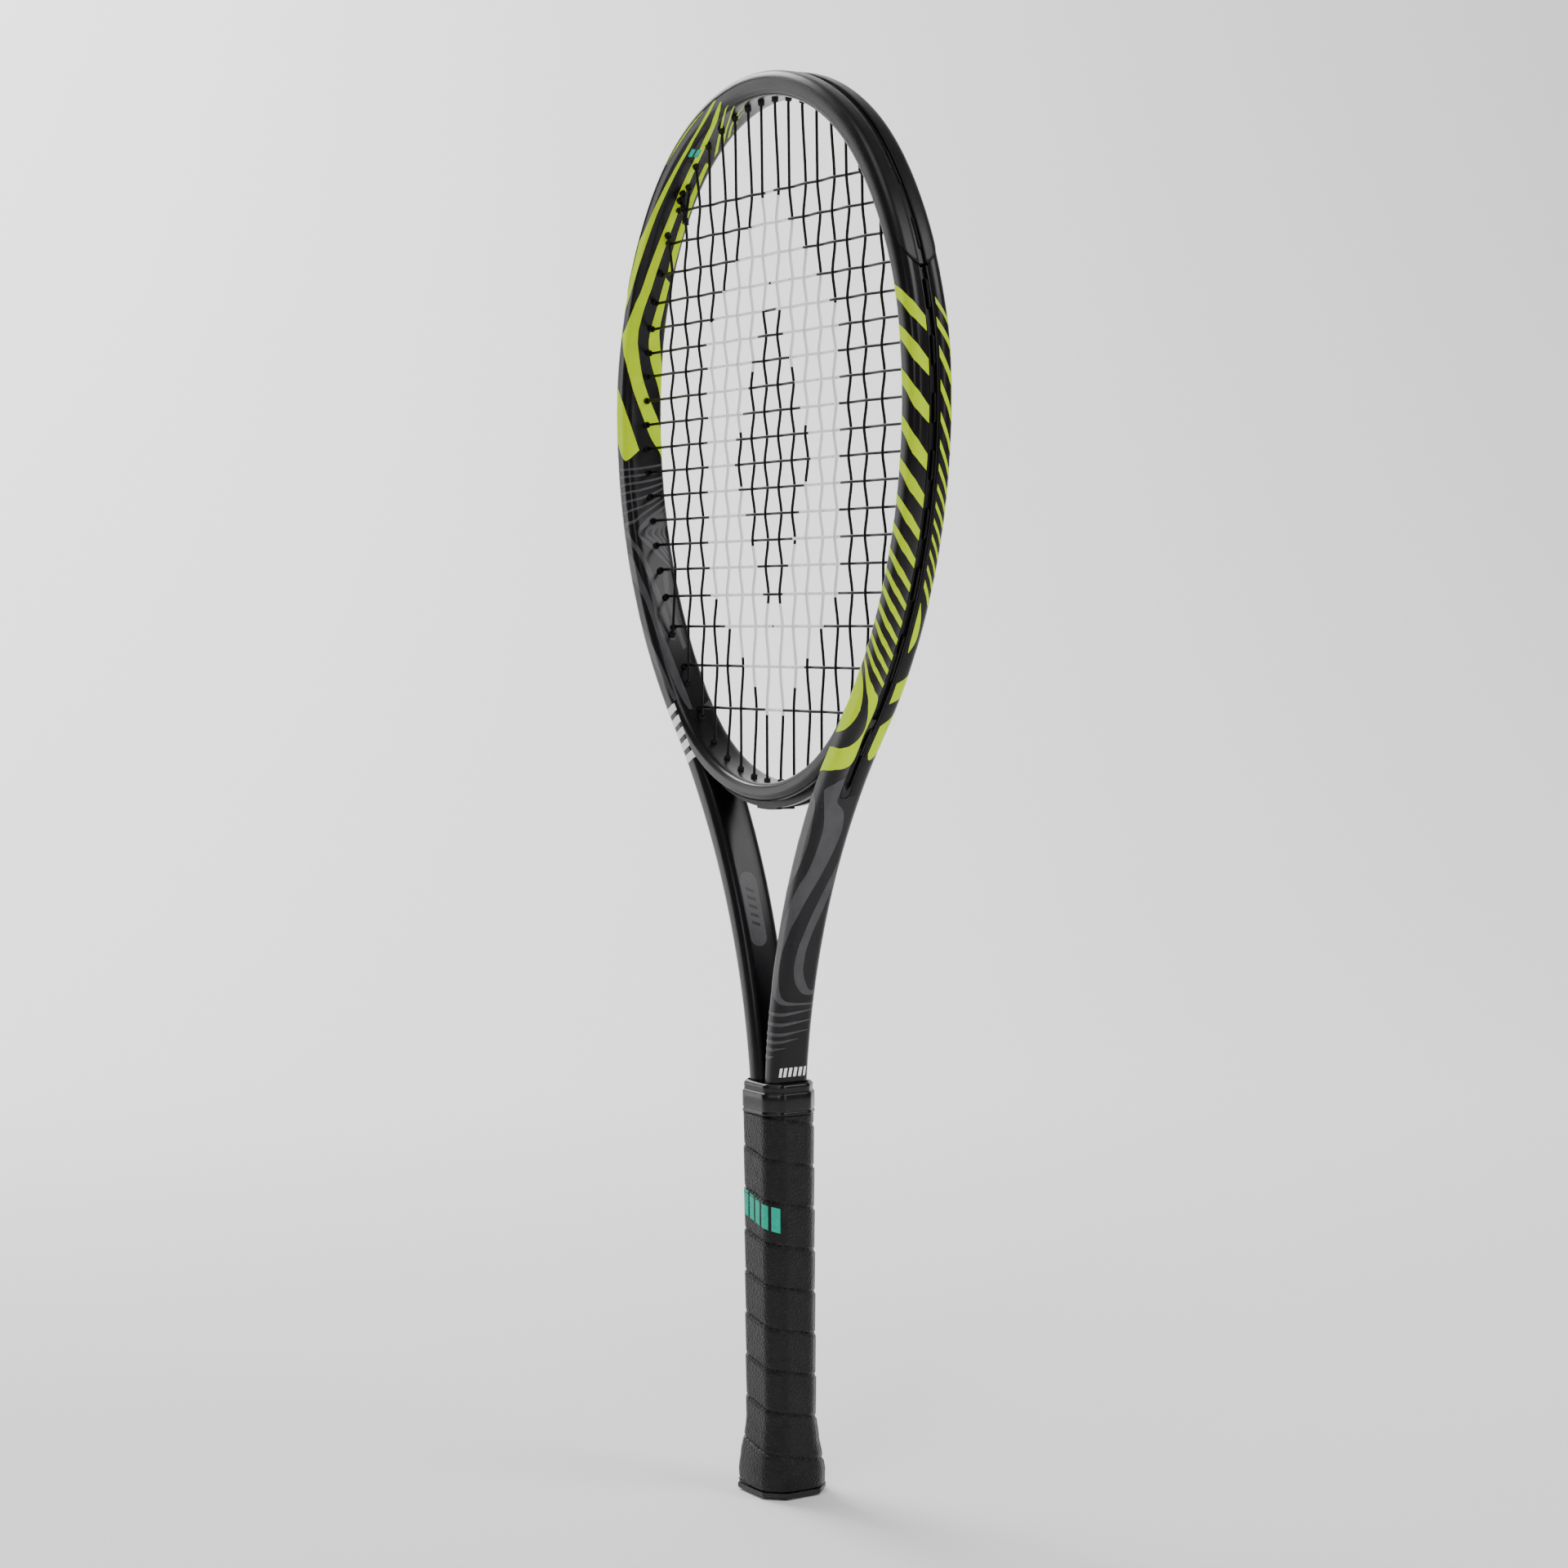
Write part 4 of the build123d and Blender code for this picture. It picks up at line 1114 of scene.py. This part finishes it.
def octagon_point(turn, out, rounding):
    """Where a ray at this angle leaves a rounded octagon that is out from the pallet."""
    half_x = PALLET_X / 2 + out - rounding
    half_y = PALLET_Y / 2 + out - rounding
    bevel = PALLET_BEVEL + (2 - sqrt(2)) * (out - rounding)
    cut = half_x + half_y - bevel
    return ray_exit(turn, rounding, lambda x, y: outside(x, y, half_x, half_y, cut))


def outside(x, y, half_x, half_y, cut):
    """Distance from a point in the first quadrant to an octagon, negative inside."""
    corners = ((half_x, 0.0), (half_x, cut - half_x), (cut - half_y, half_y), (0.0, half_y))
    gaps = []
    for (ax, ay), (bx, by) in zip(corners, corners[1:]):
        ex, ey = bx - ax, by - ay
        t = min(max(((x - ax) * ex + (y - ay) * ey) / (ex * ex + ey * ey), 0.0), 1.0)
        gaps.append(hypot(x - ax - ex * t, y - ay - ey * t))
    inside = x <= half_x and y <= half_y and x + y <= cut
    return -min(gaps) if inside else min(gaps)


def octagon_rings(levels, rounding, sides):
    """A ring of points for each (z, outward) level."""
    rows = []
    for z, out in levels:
        rows.append([(*octagon_point(2 * pi * k / sides, out, rounding), z) for k in range(sides)])
    return rows


GRIP_SIDES = 200
GRIP_RING = octagon_rings([(0, GRIP_THICKNESS - 0.25)], GRIP_ROUNDING, GRIP_SIDES)[0]


def grip_ring(z, outs):
    """The grip's outline at a height, moved out at each point."""
    ring = []
    for (x, y, _), out in zip(GRIP_RING, outs):
        size = hypot(x, y)
        reach = (size + out) / size
        ring.append((x * reach, y * reach, z))
    return ring


def build_grip():
    """A spiral wrap over the pallet and its heel: overlapping turns with a groove at each seam."""
    shape = Shape()
    count = int((GRIP_TOP - GRIP_BOTTOM) / 0.6)
    rows = []
    for i in range(count + 1):
        z = between(GRIP_BOTTOM, GRIP_TOP, i / count)
        wide = flare(z)
        rim = smoothstep(GRIP_BOTTOM + 1.6, GRIP_BOTTOM, z)
        outs = []
        for k in range(GRIP_SIDES):
            phase = (z + 2.0 + WRAP_PITCH * k / GRIP_SIDES) / WRAP_PITCH % 1.0
            seam = min(phase, 1 - phase) * WRAP_PITCH
            outs.append(wide + 0.4 * phase - 0.85 * max(1 - seam / 1.3, 0.0) - 0.9 * rim**2)
        rows.append(grip_ring(z, outs))
    for z in (GRIP_TOP, 60.0, 36.0, 26.0, 18.0, 10.0, GRIP_BOTTOM):
        rows.append(grip_ring(z, [flare(z) - 1.5] * GRIP_SIDES))
    shape.loop(rows)
    shape.piece("grip", LEATHER, ("grip_wrap",), sharp=50)


def build_collar():
    """Rubber ring: a bead at the foot, a wide band, a step and a sloping top lip."""
    shape = Shape()
    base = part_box("rubber_collar")[0].z / MM
    outer = ((0.0, 1.9), (0.3, 2.2), (1.3, 2.2), (1.7, 1.85), (2.4, 1.8), (2.8, 2.15), (10.2, 2.15),
             (10.7, 1.9), (11.0, 1.45), (12.6, 1.3), (13.0, 1.5), (14.3, 1.4), (14.9, 1.0), (15.5, 0.3))
    sides = 96
    rows = octagon_rings([(base + rise, out) for rise, out in outer], 3.2, sides)
    for z, half_x, half_y in ((base + 15.5 - 0.2, 14.5, 11.0), (base + 9.3, 14.4, 10.9)):
        rows.append([(*box_point(2 * pi * k / sides, half_x, half_y, 4.6), z) for k in range(sides)])
    rows += octagon_rings([(base + 9.2, 1.2), (base, 1.2)], 2.2, sides)
    shape.loop(rows)
    shape.piece("collar_ring", RUBBER, ("rubber_collar",), COLLAR, sharp=50)


def box_point(turn, half_x, half_y, corner):
    """Where a ray at this angle leaves a rectangle with round corners."""
    def past(x, y):
        return hypot(max(x - half_x + corner, 0), max(y - half_y + corner, 0))
    return ray_exit(turn, corner, past)


def build_grip_mark():
    """Generic teal bars printed on the grip, along the wrap."""
    shape = Shape()
    for index in range(5):
        rows = []
        for k in range(9):
            turn = 0.655 + 0.055 * index + 0.04 * k / 8
            i = int(turn * GRIP_SIDES)
            share = turn * GRIP_SIDES - i
            x = between(GRIP_RING[i][0], GRIP_RING[(i + 1) % GRIP_SIDES][0], share)
            y = between(GRIP_RING[i][1], GRIP_RING[(i + 1) % GRIP_SIDES][1], share)
            size = hypot(x, y)
            foot = 133.0 - WRAP_PITCH * 1.3 * (turn - 0.77)
            column = []
            for rise, off in ((0, 0.36), (4, 0.36), (8, 0.36), (12, 0.36), (12, -0.4), (0, -0.4)):
                column.append((x * (size + off) / size, y * (size + off) / size, foot + rise))
            rows.append(column)
        shape.bar(rows)
    shape.piece("grip_mark", TEAL, sharp=50)


# ---- Stage ----

def build_stage():
    """A pale floor that curves up into the backdrop."""
    bend, radius = 1.2, 1.6
    profile = [(-6.0, 0.0), (bend, 0.0)]
    for angle in range(6, 91, 6):
        profile.append((bend + radius * sin(radians(angle)), radius - radius * cos(radians(angle))))
    profile.append((bend + radius, 6.0))
    facing = radians(58)
    rows = []
    for depth, height in profile:
        row = []
        for across in (-7.0, 7.0):
            x = -depth * sin(facing) + across * cos(facing)
            y = depth * cos(facing) + across * sin(facing)
            row.append((x, y, height - 0.0005))
        rows.append(row)
    points = [point for row in rows for point in row]
    mesh = bpy.data.meshes.new("backdrop")
    mesh.from_pydata(points, [], lattice(rows))
    mesh.shade_smooth()
    floor = bpy.data.objects.new("backdrop", mesh)
    bpy.context.scene.collection.objects.link(floor)
    pale = bpy.data.materials.new("pale_backdrop")
    pale.use_nodes = True
    fill(pale.node_tree.nodes["Principled BSDF"], {"Base Color": (0.93, 0.93, 0.93, 1), "Roughness": 0.9})
    mesh.materials.append(pale)


def light(name, at, aim, size, power):
    """A rectangular lamp that faces a point."""
    data = bpy.data.lights.new(name, "AREA")
    data.shape = "RECTANGLE"
    data.size, data.size_y = size
    data.energy = power
    lamp = bpy.data.objects.new(name, data)
    lamp.location = at
    lamp.rotation_euler = (Vector(aim) - Vector(at)).to_track_quat("-Z", "Y").to_euler()
    bpy.context.scene.collection.objects.link(lamp)


def build_lights():
    light("backdrop", (-2.6, -0.3, 2.8), (-2.4, 1.7, 0.2), (1.6, 1.6), 150)
    light("floor", (2.2, 1.6, 2.4), (0.4, 1.2, 0.0), (1.4, 1.4), 40)
    light("overhead", (0.9, -1.0, 3.2), (0, 0, 0.2), (1.4, 1.4), 24)
    light("softbox", (-2.3, -1.4, 0.8), (0, 0, 0.4), (0.4, 2.0), 11)
    light("front", (1.9, -2.4, 1.3), (0, 0, 0.4), (0.5, 1.2), 13)
    light("side", (2.6, 0.9, 1.0), (0, 0, 0.4), (0.35, 1.6), 9)
    world = bpy.data.worlds.new("studio")
    world.use_nodes = True
    fill(world.node_tree.nodes["Background"], {"Color": (1, 1, 1, 1), "Strength": 0.25})
    bpy.context.scene.world = world


def build_camera():
    """The viewpoint, with a slight roll."""
    position = Vector((1.2866, -0.7992, 0.4283))
    target = Vector((0.0076, 0.0, 0.3455))
    roll = radians(-0.5)
    ahead = (target - position).normalized()
    right = ahead.cross(Vector((0, 0, 1))).normalized()
    up = right.cross(ahead)
    across = cos(roll) * right + sin(roll) * up
    above = -sin(roll) * right + cos(roll) * up
    data = bpy.data.cameras.new("camera")
    data.lens = 72
    data.sensor_width = 36
    camera = bpy.data.objects.new("camera", data)
    turn = Matrix((across, above, -ahead)).transposed()
    camera.matrix_world = Matrix.Translation(position) @ turn.to_4x4()
    bpy.context.scene.collection.objects.link(camera)
    bpy.context.scene.camera = camera


build_camera()
build_frame()
build_bridge()
build_guard()
build_strip(1, "strip_right", "grommet_strip_right")
build_strip(-1, "strip_left", "grommet_strip_left")
build_strings()
build_grommets()
build_lime()
build_grey()
build_badge()
build_marks()
build_grip()
build_grip_mark()
build_collar()
build_stage()
build_lights()
